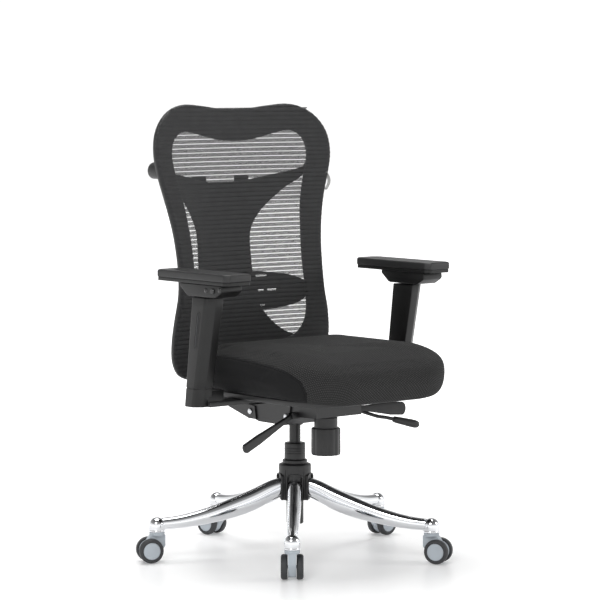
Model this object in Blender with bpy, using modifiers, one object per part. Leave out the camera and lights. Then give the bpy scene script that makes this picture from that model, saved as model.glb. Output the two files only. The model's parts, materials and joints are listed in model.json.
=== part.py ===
"""Swivel office chair, built as separate solids for Blender 4.5 (metres, +Z up).

The chair faces -Y and the sitter's right hand is on -X. Headings are measured from -Y towards
+X. The dimensions below are taken from the column's axis on the floor; at the end the whole
chair is moved so that the origin is the middle of its bounding box's underside.
"""
import math

import bmesh
import bpy
from mathutils import Matrix, Vector

# ---------------------------------------------------------------- driving dimensions
GAP = 0.0003                      # clearance between pieces that touch
SIDES = {"right": -1, "left": 1}  # the sitter's hands, and the sign of X on that side

# star base
LEG_COUNT = 5
BASE_TURN = math.radians(-41)     # heading of the first leg
BASE_RADIUS = 0.350               # column axis to caster stem
HUB_RADIUS = 0.033
HUB_LOW = 0.142
HUB_HIGH = 0.201
SOCKET_RADIUS = 0.0195
SOCKET_LOW = 0.0745
SOCKET_CROWN = 0.109
STEM_BORE_TOP = 0.0985
# leg sections: share of the reach, height of the centre above the socket's centre, width, depth
LEG_SECTIONS = (
    (0.000, 0.083, 0.034, 0.043),
    (0.130, 0.070, 0.034, 0.052),
    (0.280, 0.049, 0.034, 0.054),
    (0.430, 0.033, 0.033, 0.050),
    (0.590, 0.019, 0.031, 0.042),
    (0.760, 0.008, 0.030, 0.035),
    (0.880, 0.003, 0.029, 0.031),
    (1.000, 0.001, 0.028, 0.028),
)
LEG_CENTRE_LOW = 0.0915
LEG_START = 0.018
LEG_SECTION_POINTS = 10

# casters
WHEEL_RADIUS = 0.030
WHEEL_WIDTH = 0.016
CHEEK_HALF = 0.0095               # half thickness of the body between the twin wheels
CHEEK_INSET = 0.005               # how far the body stays inside the wheels' edge
NECK_REACH = 0.0185
WHEEL_SIDE_GAP = 0.001
CASTER_TRAIL = 0.018
STEM_RADIUS = 0.0055
STEM_NECK = 0.004                 # where the stem widens into its flange, below the socket
STEM_FLANGE_RADIUS = 0.0085
STEM_FLANGE_DROP = 0.012
AXLE_RADIUS = 0.004
CASTER_HEADINGS = (140, 29, 93, 189, -114)   # where each caster trails, in degrees

# column
TUBE_RADIUS = 0.021
TUBE_WALL = 0.0025
TUBE_LOW = 0.078
TUBE_HIGH = 0.262
CYLINDER_RADIUS = 0.014
CYLINDER_LOW = 0.135
CYLINDER_HIGH = 0.355
PIN_PROUD = 0.012
BUSH_LENGTH = 0.055
ROD_RADIUS = 0.005
ROD_HIGH = 0.268                  # stays below the bore's end at the lowest seat height
ROD_BORE_HIGH = 0.310
PIN_STEM_RADIUS = 0.004
PIN_LENGTH = 0.020
PIN_BORE_DEPTH = 0.018
COVER_RADIUS = 0.040
COVER_LOW = 0.138
COVER_HIGH = 0.227
COLLAR_RADIUS = 0.0305
COLLAR_HIGH = 0.2365
SLEEVE_RADIUS = 0.0257
SLEEVE_HIGH = 0.278

# mechanism
HOUSING_HALF = 0.072
HOUSING_WALL = 0.003
EAR_THICKNESS = 0.004
PIVOT_HEIGHT = 0.354
SEAT_PIVOT_Y = -0.058
BACK_PIVOT_Y = 0.080
PIN_RADIUS = 0.005
PIN_HEAD_RADIUS = 0.0075
PIN_HEAD = 0.003
KNOB_Y = -0.117
KNOB_RADIUS = 0.0355
KNOB_NECK_RADIUS = 0.0285
KNOB_LOW = 0.261
KNOB_SHOULDER = 0.327
KNOB_FLATS = 12
KNOB_BORE_TOP = 0.3525
# the pressed trough's outline from the side, as (y, z)
HOUSING_OUTLINE = (
    (0.100, 0.345),
    (0.052, 0.331),
    (-0.045, 0.331),
    (-0.075, 0.3555),
    (-0.165, 0.358),
    (-0.165, 0.390),
    (-0.050, 0.390),
    (0.100, 0.366),
)
TAPER_WALL = 0.006
TAPER_LENGTH = 0.032
TAPER_MIDDLE = 0.339
BOLT_RADIUS = 0.0045
BOLT_HEAD_RADIUS = 0.0080
BOLT_LOW = 0.3320
BOLT_HEAD_LOW = 0.3875
BOLT_HIGH = 0.3900
TENSION_COIL_RADIUS = 0.0165
TENSION_WIRE = 0.0019
TENSION_COIL_LOW = 0.3645
TENSION_COIL_HIGH = 0.3850

# levers
LEVER_SHAFT = 0.0045
HEIGHT_LEVER_Y = -0.090
HEIGHT_LEVER_Z = 0.3720
# the rod from its pivot to inside the grip, relative to the pivot
HEIGHT_LEVER_PATH = (
    (0.000, 0.000, 0.000),
    (HOUSING_HALF + 0.020, 0.000, 0.000),
    (HOUSING_HALF + 0.032, -0.006, -0.008),
    (HOUSING_HALF + 0.078, -0.044, -0.028),
    (HOUSING_HALF + 0.098, -0.056, -0.032),
    (HOUSING_HALF + 0.157, -0.078, -0.048),
)
GRIP_OVERLAP = 0.045              # how far the rod reaches into the grip
GRIP_LENGTH = 0.070
PADDLE_BOSS_RADIUS = 0.007
PADDLE_BOSS_LENGTH = 0.010
# paddle levers: pivot, tip, half height at the root and at the tip
PADDLES = {
    "tilt_lever": ((-0.086, -0.092, 0.360), (-0.252, -0.113, 0.294), 0.006, 0.011),
    "slide_lever": ((0.086, -0.126, 0.368), (0.206, -0.176, 0.363), 0.007, 0.016),
}
LUG_THICKNESS = 0.003
LUG_PIN_RADIUS = 0.003
LEVER_COIL_RADIUS = 0.0076
LEVER_WIRE = 0.0010
LEVER_COIL_START = 0.0025         # from the housing's side to the coil
LEVER_COIL_LENGTH = 0.0145
# the grip's outside from its far end to its near one: distance back from the far end, radius
GRIP_PROFILE = (
    (0.0000, 0.0000),
    (0.0015, 0.0055),
    (0.0060, 0.0090),
    (0.0160, 0.0100),
    (0.0350, 0.0095),
    (0.0670, 0.0078),
    (0.0700, 0.0066),
)

# seat
PLATE_LOW = 0.4010
PLATE_THICKNESS = 0.0050
PAN_THICKNESS = 0.0130
SEAT_HALF_WIDTH = 0.250
SEAT_FRONT = -0.360
SEAT_REAR = 0.122
SEAT_THICKNESS = 0.112
PAN_INSET = 0.040
PAN_FRONT_RADIUS = 0.070
PAN_REAR_RADIUS = 0.040
PLATE_HALF = HOUSING_HALF + 0.038
PLATE_FRONT = -0.165
PLATE_REAR = 0.095
EAR_HALF_HIGH = 0.019             # half lengths of the plate's ears at their root and tip
EAR_HALF_LOW = 0.010
EAR_REACH = 0.009                 # how far the ears reach below the pivot's middle
CUSHION_FRONT_RADIUS = 0.110
CUSHION_REAR_RADIUS = 0.060
CUSHION_LEAST_RADIUS = 0.030
FRONT_ROLL = 0.120                # length of the part that rolls down at the front
# rings of the cushion, bottom to top: inset, height, drop at the front
CUSHION_RINGS = (
    (0.034, 0.000, 0.000),
    (0.010, 0.008, 0.014),
    (0.002, 0.026, 0.008),
    (0.000, 0.056, 0.004),
    (0.004, 0.082, 0.010),
    (0.016, 0.097, 0.018),
    (0.040, 0.105, 0.022),
    (0.090, 0.110, 0.014),
    (0.150, SEAT_THICKNESS, 0.004),
)

# back
BACK_TOP = 1.106
FRAME_DEPTH = 0.014
MESH_THICKNESS = 0.0015
MESH_GAP = 0.0012
BACK_BOW = 0.036                  # how much further back the middle lies than the ears
BOW_HALF_WIDTH = 0.280
SPINE_THICKNESS = 0.005
SPINE_CLEARANCE = 0.0035
LUMBAR_THICKNESS = 0.003
LUMBAR_HALF = 0.200
LUMBAR_TOP = 0.688
LUMBAR_BOTTOM = 0.586
LUMBAR_DEPTH = 0.1985
LUMBAR_COLUMNS = 12
LUMBAR_LEVELS = 4
SLOT_HALF_HEIGHT = 0.002
# slots of the lumbar plate on either side: middle x, middle z, length
LUMBAR_SLOTS = (
    (0.056, 0.676, 0.036),
    (0.055, 0.638, 0.020),
    (0.090, 0.638, 0.030),
    (0.058, 0.601, 0.022),
)
# the block that guides the lumbar plate on the spine
GUIDE_HALF = 0.026
GUIDE_FRONT = 0.1995
GUIDE_LOW = 0.612
GUIDE_HIGH = 0.660
MESH_MIDDLE = 0.76                # height that the mesh panel's rings shrink towards
MESH_SHARES = (0.25, 0.5, 0.75, 0.99)
FRAME_TAPER = 0.985               # how much narrower the frame's rear outline is
FRAME_LIP = 0.93                  # where the frame's front face starts, from inner to outer
FRAME_EDGE = 0.005                # depth of the frame's rounded front edge
# round bosses that join the spine to the frame: x, z, radius, length
SPINE_BOSSES = ((0.228, 0.944, 0.0205, 0.048), (0.196, 0.483, 0.0140, 0.020))
HANGER_LUG_X = 0.068
HANGER_LUG_HALF = 0.0215
HANGER_LUG_LOW = 0.868
HANGER_LUG_HIGH = 0.925
HANGER_LUG_THICKNESS = 0.009
HANGER_REACH = 0.055
HANGER_BAR_RADIUS = 0.007
HANGER_BEND = 0.015
HANGER_ROOT_Z = 0.885
HANGER_BAR_Z = 0.895
# the swinging arm that carries the back, seen from the side as (y, z)
BRACKET_OUTLINE = (
    (0.150, 0.352),
    (0.235, 0.352),
    (0.264, 0.362),
    (0.285, 0.390),
    (0.294, 0.450),
    (0.299, 0.530),
    (0.301, 0.600),
    (0.2885, 0.600),
    (0.2860, 0.530),
    (0.2800, 0.455),
    (0.2690, 0.402),
    (0.2530, 0.380),
    (0.235, 0.370),
    (0.150, 0.370),
)
BRACKET_HALF = 0.036
# its two cheeks on the rear pivot pin
CHEEK_OUTLINE = (
    (BACK_PIVOT_Y - 0.022, PIVOT_HEIGHT - 0.018),
    (BACK_PIVOT_Y + 0.006, PIVOT_HEIGHT - 0.018),
    (0.166, 0.358),
    (0.166, 0.382),
    (BACK_PIVOT_Y + 0.024, PIVOT_HEIGHT + 0.017),
    (BACK_PIVOT_Y - 0.016, PIVOT_HEIGHT + 0.014),
)
CROSS_FRONT = 0.113
CROSS_REAR = 0.165
CROSS_LOW = 0.356
CROSS_HIGH = 0.379
# depth of the back's front surface at its edge, by height
EDGE_DEPTH = (
    (0.420, 0.166),
    (0.530, 0.152),
    (0.650, 0.145),
    (0.770, 0.159),
    (0.890, 0.180),
    (1.010, 0.193),
    (1.110, 0.200),
)
# depth of the spine's front in its middle, by height
SPINE_DEPTH = (
    (0.455, 0.266),
    (0.550, 0.276),
    (0.650, 0.281),
    (0.790, 0.292),
    (0.860, 0.289),
    (0.950, 0.266),
)
# half outlines from the bottom's middle up one side to the top's middle, as (x, z)
OUTER_OUTLINE = (
    (0.000, 0.420),
    (0.150, 0.424),
    (0.215, 0.440),
    (0.243, 0.475),
    (0.250, 0.520),
    (0.244, 0.580),
    (0.232, 0.640),
    (0.229, 0.710),
    (0.235, 0.790),
    (0.252, 0.870),
    (0.270, 0.930),
    (0.280, 0.980),
    (0.274, 1.030),
    (0.250, 1.068),
    (0.213, 1.094),
    (0.165, BACK_TOP),
    (0.110, BACK_TOP - 0.0035),
    (0.055, BACK_TOP - 0.0095),
    (0.000, BACK_TOP - 0.0120),
)
INNER_OUTLINE = (
    (0.000, 0.510),
    (0.070, 0.510),
    (0.125, 0.513),
    (0.160, 0.527),
    (0.180, 0.555),
    (0.185, 0.590),
    (0.179, 0.650),
    (0.175, 0.710),
    (0.178, 0.780),
    (0.186, 0.850),
    (0.200, 0.910),
    (0.213, 0.955),
    (0.216, 0.990),
    (0.203, 1.022),
    (0.168, BACK_TOP - 0.067),
    (0.110, BACK_TOP - 0.077),
    (0.055, BACK_TOP - 0.089),
    (0.000, BACK_TOP - 0.093),
)
# rows of the spine, bottom to top: half width, height at its edge, height in its middle
SPINE_ROWS = (
    (0.215, 0.465, 0.455),
    (0.214, 0.500, 0.490),
    (0.190, 0.514, 0.520),
    (0.157, 0.531, 0.548),
    (0.128, 0.558, 0.575),
    (0.106, 0.590, 0.602),
    (0.090, 0.640, 0.645),
    (0.085, 0.715, 0.715),
    (0.087, 0.785, 0.780),
    (0.110, 0.830, 0.818),
    (0.139, 0.862, 0.845),
    (0.172, 0.893, 0.868),
    (0.212, 0.921, 0.888),
    (0.230, 0.950, 0.908),
)
SPINE_REACH = 0.235
SPINE_COLUMNS = 10
FRAME_STATIONS = 26

# arms
ARM_INNER = SEAT_HALF_WIDTH + 0.050   # inner face of the upright
ARM_WIDTH = 0.043
ARM_LEAN = math.radians(9.0)
POST_WIDTH = 0.016
POST_DEPTH = 0.040
PAD_INNER = ARM_INNER - 0.023
PAD_OUTER = PAD_INNER + 0.079
PAD_FRONT = -0.181
PAD_REAR = 0.100
PAD_TOP = 0.717
PAD_THICKNESS = 0.018
ARM_FOOT_LOW = 0.3945
ARM_TOP = 0.6570
ARM_CENTRE_Y = -0.028             # middle of the upright at its lower end
ARM_LOWER_Z = 0.440
POST_LOW = 0.480
BRACKET_LOW = 0.6605
BRACKET_HIGH = 0.6905
BUTTON_RADIUS = 0.007
BUTTON_Y = -0.120
BUTTON_Z = 0.6765
BUTTON_DEPTH = 0.011
PAD_RADIUS = 0.022
PAD_BASE_INSET = 0.005
PAD_BASE_RADIUS = 0.018
PAD_EDGE = 0.004
UPRIGHT_HALF_LOW = 0.028          # half the upright's length along the chair, low and high
UPRIGHT_HALF_HIGH = 0.0365
FOOT_OVERLAP = 0.010
FOOT_HIGH = 0.434
POCKET_GAP = 0.0006
UPRIGHT_SLOT_LOW = 0.540
UPRIGHT_SLOT_HIGH = 0.618
UPRIGHT_SLOT_WIDTH = 0.0045
# the bracket on the post, seen from the side as (y, z)
POST_BRACKET = (
    (0.006, BRACKET_HIGH),
    (0.006, BRACKET_HIGH - 0.008),
    (-0.022, BRACKET_LOW),
    (-0.128, BRACKET_LOW),
    (-0.152, BRACKET_LOW + 0.014),
    (-0.152, BRACKET_HIGH),
)
BRACKET_INNER = ARM_INNER - 0.012
BRACKET_OUTER = ARM_INNER + ARM_WIDTH + 0.007

MATERIALS = {
    "chrome": ((0.72, 0.73, 0.75), 0.08, 1.0),
    "steel": ((0.55, 0.56, 0.58), 0.30, 1.0),
    "painted_steel": ((0.025, 0.025, 0.027), 0.45, 0.0),
    "black_plastic": ((0.018, 0.018, 0.019), 0.42, 0.0),
    "grey_plastic": ((0.50, 0.53, 0.57), 0.40, 0.0),
    "tread": ((0.030, 0.031, 0.034), 0.60, 0.0),
    "soft_pad": ((0.022, 0.022, 0.023), 0.50, 0.0),
    "seat_fabric": ((0.016, 0.016, 0.018), 0.90, 0.0),
    "mesh_fabric": ((0.015, 0.015, 0.016), 0.80, 0.0),
}


# ---------------------------------------------------------------- scene and object helpers
def clear_scene():
    """Take away whatever the scene holds."""
    for old in list(bpy.data.objects):
        bpy.data.objects.remove(old, do_unlink=True)


def new_collection(name):
    collection = bpy.data.collections.new(name)
    bpy.context.scene.collection.children.link(collection)
    return collection


def make_materials():
    """One Principled material for each finish."""
    made = {}
    for name, (colour, roughness, metallic) in MATERIALS.items():
        material = bpy.data.materials.new(name)
        material.use_nodes = True
        shader = material.node_tree.nodes["Principled BSDF"]
        shader.inputs["Base Color"].default_value = (*colour, 1.0)
        shader.inputs["Roughness"].default_value = roughness
        shader.inputs["Metallic"].default_value = metallic
        made[name] = material
    return made


clear_scene()
PARTS = new_collection("office_chair")
CUTTERS = new_collection("cutters")
FINISHES = make_materials()


def add_object(name, data, finish=None, parent=None, place=None):
    """Link a mesh or curve as a part, or as a hidden cutter when it has no finish."""
    thing = bpy.data.objects.new(name, data)
    if finish is None:
        CUTTERS.objects.link(thing)
        thing.hide_render = True
        thing.display_type = "WIRE"
    else:
        PARTS.objects.link(thing)
        data.materials.append(FINISHES[finish])
    if parent is not None:
        thing.parent = parent
    if place is not None:
        thing.matrix_local = place
    return thing


def add_empty(name, location, turn=0.0, parent=None):
    """An axis that moving pieces hang on, turned about Z by turn."""
    empty = bpy.data.objects.new(name, None)
    empty.empty_display_size = 0.02
    PARTS.objects.link(empty)
    empty.parent = parent
    empty.matrix_local = Matrix.Translation(location) @ Matrix.Rotation(turn, 4, "Z")
    return empty


def finish_mesh(bm, name, smooth=False):
    """Close the bmesh's normals outward and turn it into a mesh."""
    bmesh.ops.recalc_face_normals(bm, faces=bm.faces)
    mesh = bpy.data.meshes.new(name)
    bm.to_mesh(mesh)
    bm.free()
    if smooth:
        mesh.shade_smooth()
        mesh.set_sharp_from_angle(angle=math.radians(35))
    return mesh


def box_mesh(name, low, high):
    """A box between two corners."""
    bm = bmesh.new()
    bmesh.ops.create_cube(bm, size=1.0)
    low = Vector(low)
    high = Vector(high)
    size = high - low
    bmesh.ops.scale(bm, vec=size, verts=bm.verts)
    bmesh.ops.translate(bm, vec=(low + high) / 2, verts=bm.verts)
    return finish_mesh(bm, name)


def cylinder_mesh(name, radius, length, segments=20):
    """A cylinder about local Z, centred on its origin."""
    bm = bmesh.new()
    bmesh.ops.create_cone(
        bm, cap_ends=True, segments=segments, radius1=radius, radius2=radius, depth=length
    )
    return finish_mesh(bm, name, smooth=True)


def turned(name, profile, finish, segments=20, parent=None, place=None):
    """Turn a profile of (radius, height) points about Z. It runs down the outer side."""
    bm = bmesh.new()
    points = [bm.verts.new((radius, 0.0, height)) for radius, height in profile]
    for first, second in zip(points, points[1:]):
        bm.edges.new((first, second))
    if profile[0][0] > 0.0:
        bm.edges.new((points[-1], points[0]))
    mesh = bpy.data.meshes.new(name)
    bm.to_mesh(mesh)
    bm.free()
    thing = add_object(name, mesh, finish, parent, place)
    screw = thing.modifiers.new("turn", "SCREW")
    screw.axis = "Z"
    screw.angle = math.tau
    screw.steps = segments
    screw.render_steps = segments
    screw.use_merge_vertices = True
    screw.merge_threshold = 0.00001
    screw.use_smooth_shade = True
    return thing


def loft_mesh(name, rings, smooth=True, closed_path=False):
    """Skin rings of equally many points; capped unless the path closes on itself."""
    bm = bmesh.new()
    rows = [[bm.verts.new(point) for point in ring] for ring in rings]
    count = len(rows[0])
    pairs = list(zip(rows, rows[1:]))
    if closed_path:
        pairs.append((rows[-1], rows[0]))
    for near, far in pairs:
        for index in range(count):
            following = (index + 1) % count
            bm.faces.new((near[index], near[following], far[following], far[index]))
    if not closed_path:
        bm.faces.new(rows[0])
        bm.faces.new(rows[-1])
    return finish_mesh(bm, name, smooth)


def prism_mesh(name, outline, low, high, axis):
    """Extrude a flat outline along an axis from low to high.

    The outline's points are (y, z) for axis X, (z, x) for axis Y and (x, y) for axis Z.
    """
    curve = bpy.data.curves.new(name, "CURVE")
    curve.dimensions = "2D"
    curve.fill_mode = "BOTH"
    curve.extrude = (high - low) / 2
    curve.render_resolution_u = 0
    spline = curve.splines.new("POLY")
    spline.points.add(len(outline) - 1)
    for point, (u, v) in zip(spline.points, outline):
        point.co = (u, v, 0.0, 1.0)
    spline.use_cyclic_u = True
    turn = {
        "X": Matrix(((0, 0, 1), (1, 0, 0), (0, 1, 0))),
        "Y": Matrix(((0, 1, 0), (0, 0, 1), (1, 0, 0))),
        "Z": Matrix.Identity(3),
    }[axis]
    middle = turn @ Vector((0.0, 0.0, (low + high) / 2))
    return curve_mesh(name, curve, Matrix.Translation(middle) @ turn.to_4x4())


def curve_mesh(name, curve, place):
    """The closed mesh of a curve, with its loose caps welded."""
    guide = bpy.data.objects.new(name + "_guide", curve)
    CUTTERS.objects.link(guide)
    guide.matrix_world = place
    bpy.context.view_layer.update()
    evaluated = guide.evaluated_get(bpy.context.evaluated_depsgraph_get())
    mesh = bpy.data.meshes.new_from_object(evaluated)
    bpy.data.objects.remove(guide, do_unlink=True)
    bm = bmesh.new()
    bm.from_mesh(mesh)
    bm.transform(place)
    bmesh.ops.remove_doubles(bm, verts=bm.verts, dist=0.00001)
    bpy.data.meshes.remove(mesh)
    return finish_mesh(bm, name)


def tube_mesh(name, points, radius, cyclic=False):
    """A round bar through the points."""
    curve = bpy.data.curves.new(name, "CURVE")
    curve.dimensions = "3D"
    curve.bevel_depth = radius
    curve.bevel_resolution = 2
    curve.use_fill_caps = True
    curve.render_resolution_u = 0
    spline = curve.splines.new("POLY")
    spline.points.add(len(points) - 1)
    for target, point in zip(spline.points, points):
        target.co = (*point, 1.0)
    spline.use_cyclic_u = cyclic
    mesh = curve_mesh(name, curve, Matrix.Identity(4))
    mesh.shade_smooth()
    return mesh


def combine(thing, other, operation):
    """Join another solid to this one, or cut it away, and hide the other."""
    step = thing.modifiers.new(other.name, "BOOLEAN")
    step.operation = operation
    step.solver = "EXACT"
    step.object = other


def join_mesh(thing, mesh, place=None):
    combine(thing, add_object(mesh.name, mesh, place=place), "UNION")


def cut_mesh(thing, mesh, place=None):
    combine(thing, add_object(mesh.name, mesh, place=place), "DIFFERENCE")


def bevelled(thing, width, segments=2):
    """Round the edges of a box-like solid."""
    edge = thing.modifiers.new("edges", "BEVEL")
    edge.width = width
    edge.segments = segments
    edge.limit_method = "ANGLE"
    return thing


# ---------------------------------------------------------------- geometry helpers
def heading_vector(angle):
    return Vector((math.sin(angle), -math.cos(angle), 0.0))


def smooth_curve(knots, value):
    """Catmull-Rom interpolation of (position, value) knots at one position."""
    last = len(knots) - 1
    index = 0
    while index < last - 1 and value > knots[index + 1][0]:
        index += 1
    near, far = knots[index], knots[index + 1]
    before = knots[max(index - 1, 0)]
    after = knots[min(index + 2, last)]
    span = far[0] - near[0]
    share = min(max((value - near[0]) / span, 0.0), 1.0)
    slope_near = (far[1] - before[1]) / (far[0] - before[0]) * span
    slope_far = (after[1] - near[1]) / (after[0] - near[0]) * span
    square = share * share
    cube = square * share
    return (
        near[1] * (2 * cube - 3 * square + 1)
        + slope_near * (cube - 2 * square + share)
        + far[1] * (3 * square - 2 * cube)
        + slope_far * (cube - square)
    )


def smooth_path(knots, count):
    """Points spread along a Catmull-Rom curve through 2-D knots, ends included."""
    lengths = [0.0]
    for first, second in zip(knots, knots[1:]):
        lengths.append(lengths[-1] + math.dist(first, second))
    across = [(length, knot[0]) for length, knot in zip(lengths, knots)]
    up = [(length, knot[1]) for length, knot in zip(lengths, knots)]
    steps = [lengths[-1] * index / (count - 1) for index in range(count)]
    return [(smooth_curve(across, step), smooth_curve(up, step)) for step in steps]


def rounded_outline(half_width, front, rear, front_radius, rear_radius, steps=5):
    """A rectangle from front to rear along Y with round corners, as (x, y) points."""
    corners = (
        (half_width - front_radius, front + front_radius, front_radius, -90),
        (half_width - rear_radius, rear - rear_radius, rear_radius, 0),
        (-half_width + rear_radius, rear - rear_radius, rear_radius, 90),
        (-half_width + front_radius, front + front_radius, front_radius, 180),
    )
    points = []
    for centre_x, centre_y, radius, start in corners:
        for index in range(steps + 1):
            angle = math.radians(start + 90 * index / steps)
            points.append((centre_x + radius * math.cos(angle), centre_y + radius * math.sin(angle)))
    return points


def helix_points(radius, low, high, turns, per_turn):
    count = turns * per_turn
    points = []
    for index in range(count + 1):
        angle = math.tau * index / per_turn
        height = low + (high - low) * index / count
        points.append((radius * math.cos(angle), radius * math.sin(angle), height))
    return points


def pin_cutter(name, y):
    """A hole along X for a pivot pin."""
    mesh = cylinder_mesh(name, PIN_RADIUS + GAP, 0.30)
    place = Matrix.Translation((0.0, y, PIVOT_HEIGHT)) @ Matrix.Rotation(math.pi / 2, 4, "Y")
    return mesh, place


# ---------------------------------------------------------------- base and column
def leg_mesh(name, angle):
    """One curved leg: superellipse sections lofted from the hub to its socket."""
    outward = heading_vector(angle)
    sideways = Vector((-outward.y, outward.x, 0.0))
    reach = BASE_RADIUS - SOCKET_RADIUS * 0.6 - LEG_START
    rings = []
    for share, rise, width, depth in LEG_SECTIONS:
        centre = outward * (LEG_START + reach * share)
        centre.z = LEG_CENTRE_LOW + rise
        ring = []
        for index in range(LEG_SECTION_POINTS):
            turn = math.tau * index / LEG_SECTION_POINTS
            across = math.copysign(abs(math.cos(turn)) ** 0.8, math.cos(turn)) * width / 2
            up = math.copysign(abs(math.sin(turn)) ** 0.8, math.sin(turn)) * depth / 2
            ring.append(centre + sideways * across + Vector((0.0, 0.0, up)))
        rings.append(ring)
    return loft_mesh(name, rings)


def make_base():
    hub = turned(
        "base_star",
        ((0.0, HUB_HIGH), (HUB_RADIUS, HUB_HIGH), (HUB_RADIUS, HUB_LOW), (0.0, HUB_LOW)),
        "chrome",
        segments=24,
    )
    for index in range(LEG_COUNT):
        angle = BASE_TURN + math.tau * index / LEG_COUNT
        join_mesh(hub, leg_mesh(f"leg_{index}", angle))
        place = Matrix.Translation(heading_vector(angle) * BASE_RADIUS)
        socket = turned(f"socket_{index}", socket_profile(), None, segments=16, place=place)
        combine(hub, socket, "UNION")
    cut_mesh(
        hub,
        cylinder_mesh("tube_bore", TUBE_RADIUS + 2 * GAP, 0.2, segments=24),
        Matrix.Translation((0.0, 0.0, HUB_LOW)),
    )


def socket_profile():
    """The domed end of a leg, with the bore for a caster stem."""
    shoulder = SOCKET_LOW + 0.016
    rise = SOCKET_CROWN - shoulder
    dome = [
        (SOCKET_RADIUS * math.sin(math.radians(a)), shoulder + rise * math.cos(math.radians(a)))
        for a in (0, 30, 60, 90)
    ]
    bore = STEM_RADIUS + GAP
    rim = [(SOCKET_RADIUS, SOCKET_LOW), (bore, SOCKET_LOW)]
    return dome + rim + [(bore, STEM_BORE_TOP), (0.0, STEM_BORE_TOP)]


def make_hub_cover():
    """A plastic cover over the hub, slotted where the legs come out."""
    inside = HUB_RADIUS + GAP
    tube = TUBE_RADIUS + GAP
    cover = turned(
        "hub_cover",
        (
            (tube, COLLAR_HIGH),
            (COLLAR_RADIUS, COLLAR_HIGH),
            (COLLAR_RADIUS, COVER_HIGH + 0.002),
            (COVER_RADIUS - 0.004, COVER_HIGH),
            (COVER_RADIUS, COVER_HIGH - 0.005),
            (COVER_RADIUS, COVER_LOW),
            (inside, COVER_LOW),
            (inside, HUB_HIGH + GAP),
            (tube, HUB_HIGH + GAP),
        ),
        "black_plastic",
        segments=30,
    )
    slot_half = LEG_SECTIONS[0][2] / 2 + 0.0006
    for index in range(LEG_COUNT):
        angle = BASE_TURN + math.tau * index / LEG_COUNT
        mesh = box_mesh(
            f"leg_slot_{index}",
            (-slot_half, -COVER_RADIUS * 1.3, COVER_LOW - 0.02),
            (slot_half, -HUB_RADIUS * 0.6, HUB_HIGH + GAP),
        )
        cut_mesh(cover, mesh, Matrix.Rotation(angle, 4, "Z"))


def make_column():
    inner = TUBE_RADIUS - TUBE_WALL
    floor = TUBE_LOW + 0.004
    clip_hole = ROD_RADIUS - 0.002
    turned(
        "lift_tube",
        (
            (inner, TUBE_HIGH),
            (TUBE_RADIUS, TUBE_HIGH),
            (TUBE_RADIUS, TUBE_LOW + 0.002),
            (TUBE_RADIUS - 0.002, TUBE_LOW),
            (clip_hole, TUBE_LOW),
            (clip_hole, floor),
            (inner, floor),
        ),
        "painted_steel",
    )
    guide = CYLINDER_RADIUS + GAP
    bush_low = TUBE_HIGH - BUSH_LENGTH
    turned(
        "guide_bush",
        ((guide, TUBE_HIGH), (inner - GAP, TUBE_HIGH), (inner - GAP, bush_low), (guide, bush_low)),
        "black_plastic",
        segments=20,
    )
    turned(
        "piston_rod",
        ((0.0, ROD_HIGH), (ROD_RADIUS, ROD_HIGH), (ROD_RADIUS, floor + GAP), (0.0, floor + GAP)),
        "steel",
        segments=12,
    )
    turned(
        "thrust_bearing",
        (
            (ROD_RADIUS + GAP, floor + 0.008),
            (CYLINDER_RADIUS - 0.002, floor + 0.008),
            (CYLINDER_RADIUS - 0.002, floor + GAP),
            (ROD_RADIUS + GAP, floor + GAP),
        ),
        "steel",
        segments=16,
    )
    sleeve_low = COLLAR_HIGH + GAP
    turned(
        "lift_cover",
        (
            (TUBE_RADIUS - 0.002, SLEEVE_HIGH),
            (SLEEVE_RADIUS - 0.001, SLEEVE_HIGH),
            (SLEEVE_RADIUS, SLEEVE_HIGH - 0.001),
            (SLEEVE_RADIUS, sleeve_low),
            (TUBE_RADIUS + GAP, sleeve_low),
            (TUBE_RADIUS + GAP, TUBE_HIGH + GAP),
            (TUBE_RADIUS - 0.002, TUBE_HIGH + GAP),
        ),
        "black_plastic",
    )
    lift = add_empty("lift_axis", (0.0, 0.0, 0.0))
    rod_hole = ROD_RADIUS + GAP
    pin_hole = PIN_STEM_RADIUS + GAP
    pin_bore_low = CYLINDER_HIGH - PIN_BORE_DEPTH
    turned(
        "gas_cylinder",
        (
            (pin_hole, CYLINDER_HIGH),
            (CYLINDER_RADIUS - 0.0015, CYLINDER_HIGH),
            (CYLINDER_RADIUS, CYLINDER_HIGH - 0.020),
            (CYLINDER_RADIUS, CYLINDER_LOW),
            (rod_hole, CYLINDER_LOW),
            (rod_hole, ROD_BORE_HIGH),
            (pin_hole - 0.002, ROD_BORE_HIGH),
            (pin_hole - 0.002, pin_bore_low),
            (pin_hole, pin_bore_low),
        ),
        "painted_steel",
        segments=20,
        parent=lift,
    )
    pin_top = CYLINDER_HIGH + PIN_PROUD
    turned(
        "release_pin",
        (
            (0.0, pin_top),
            (PIN_STEM_RADIUS - 0.001, pin_top),
            (PIN_STEM_RADIUS, pin_top - 0.001),
            (PIN_STEM_RADIUS, pin_top - PIN_LENGTH),
            (0.0, pin_top - PIN_LENGTH),
        ),
        "steel",
        segments=12,
        parent=lift,
    )


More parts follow.
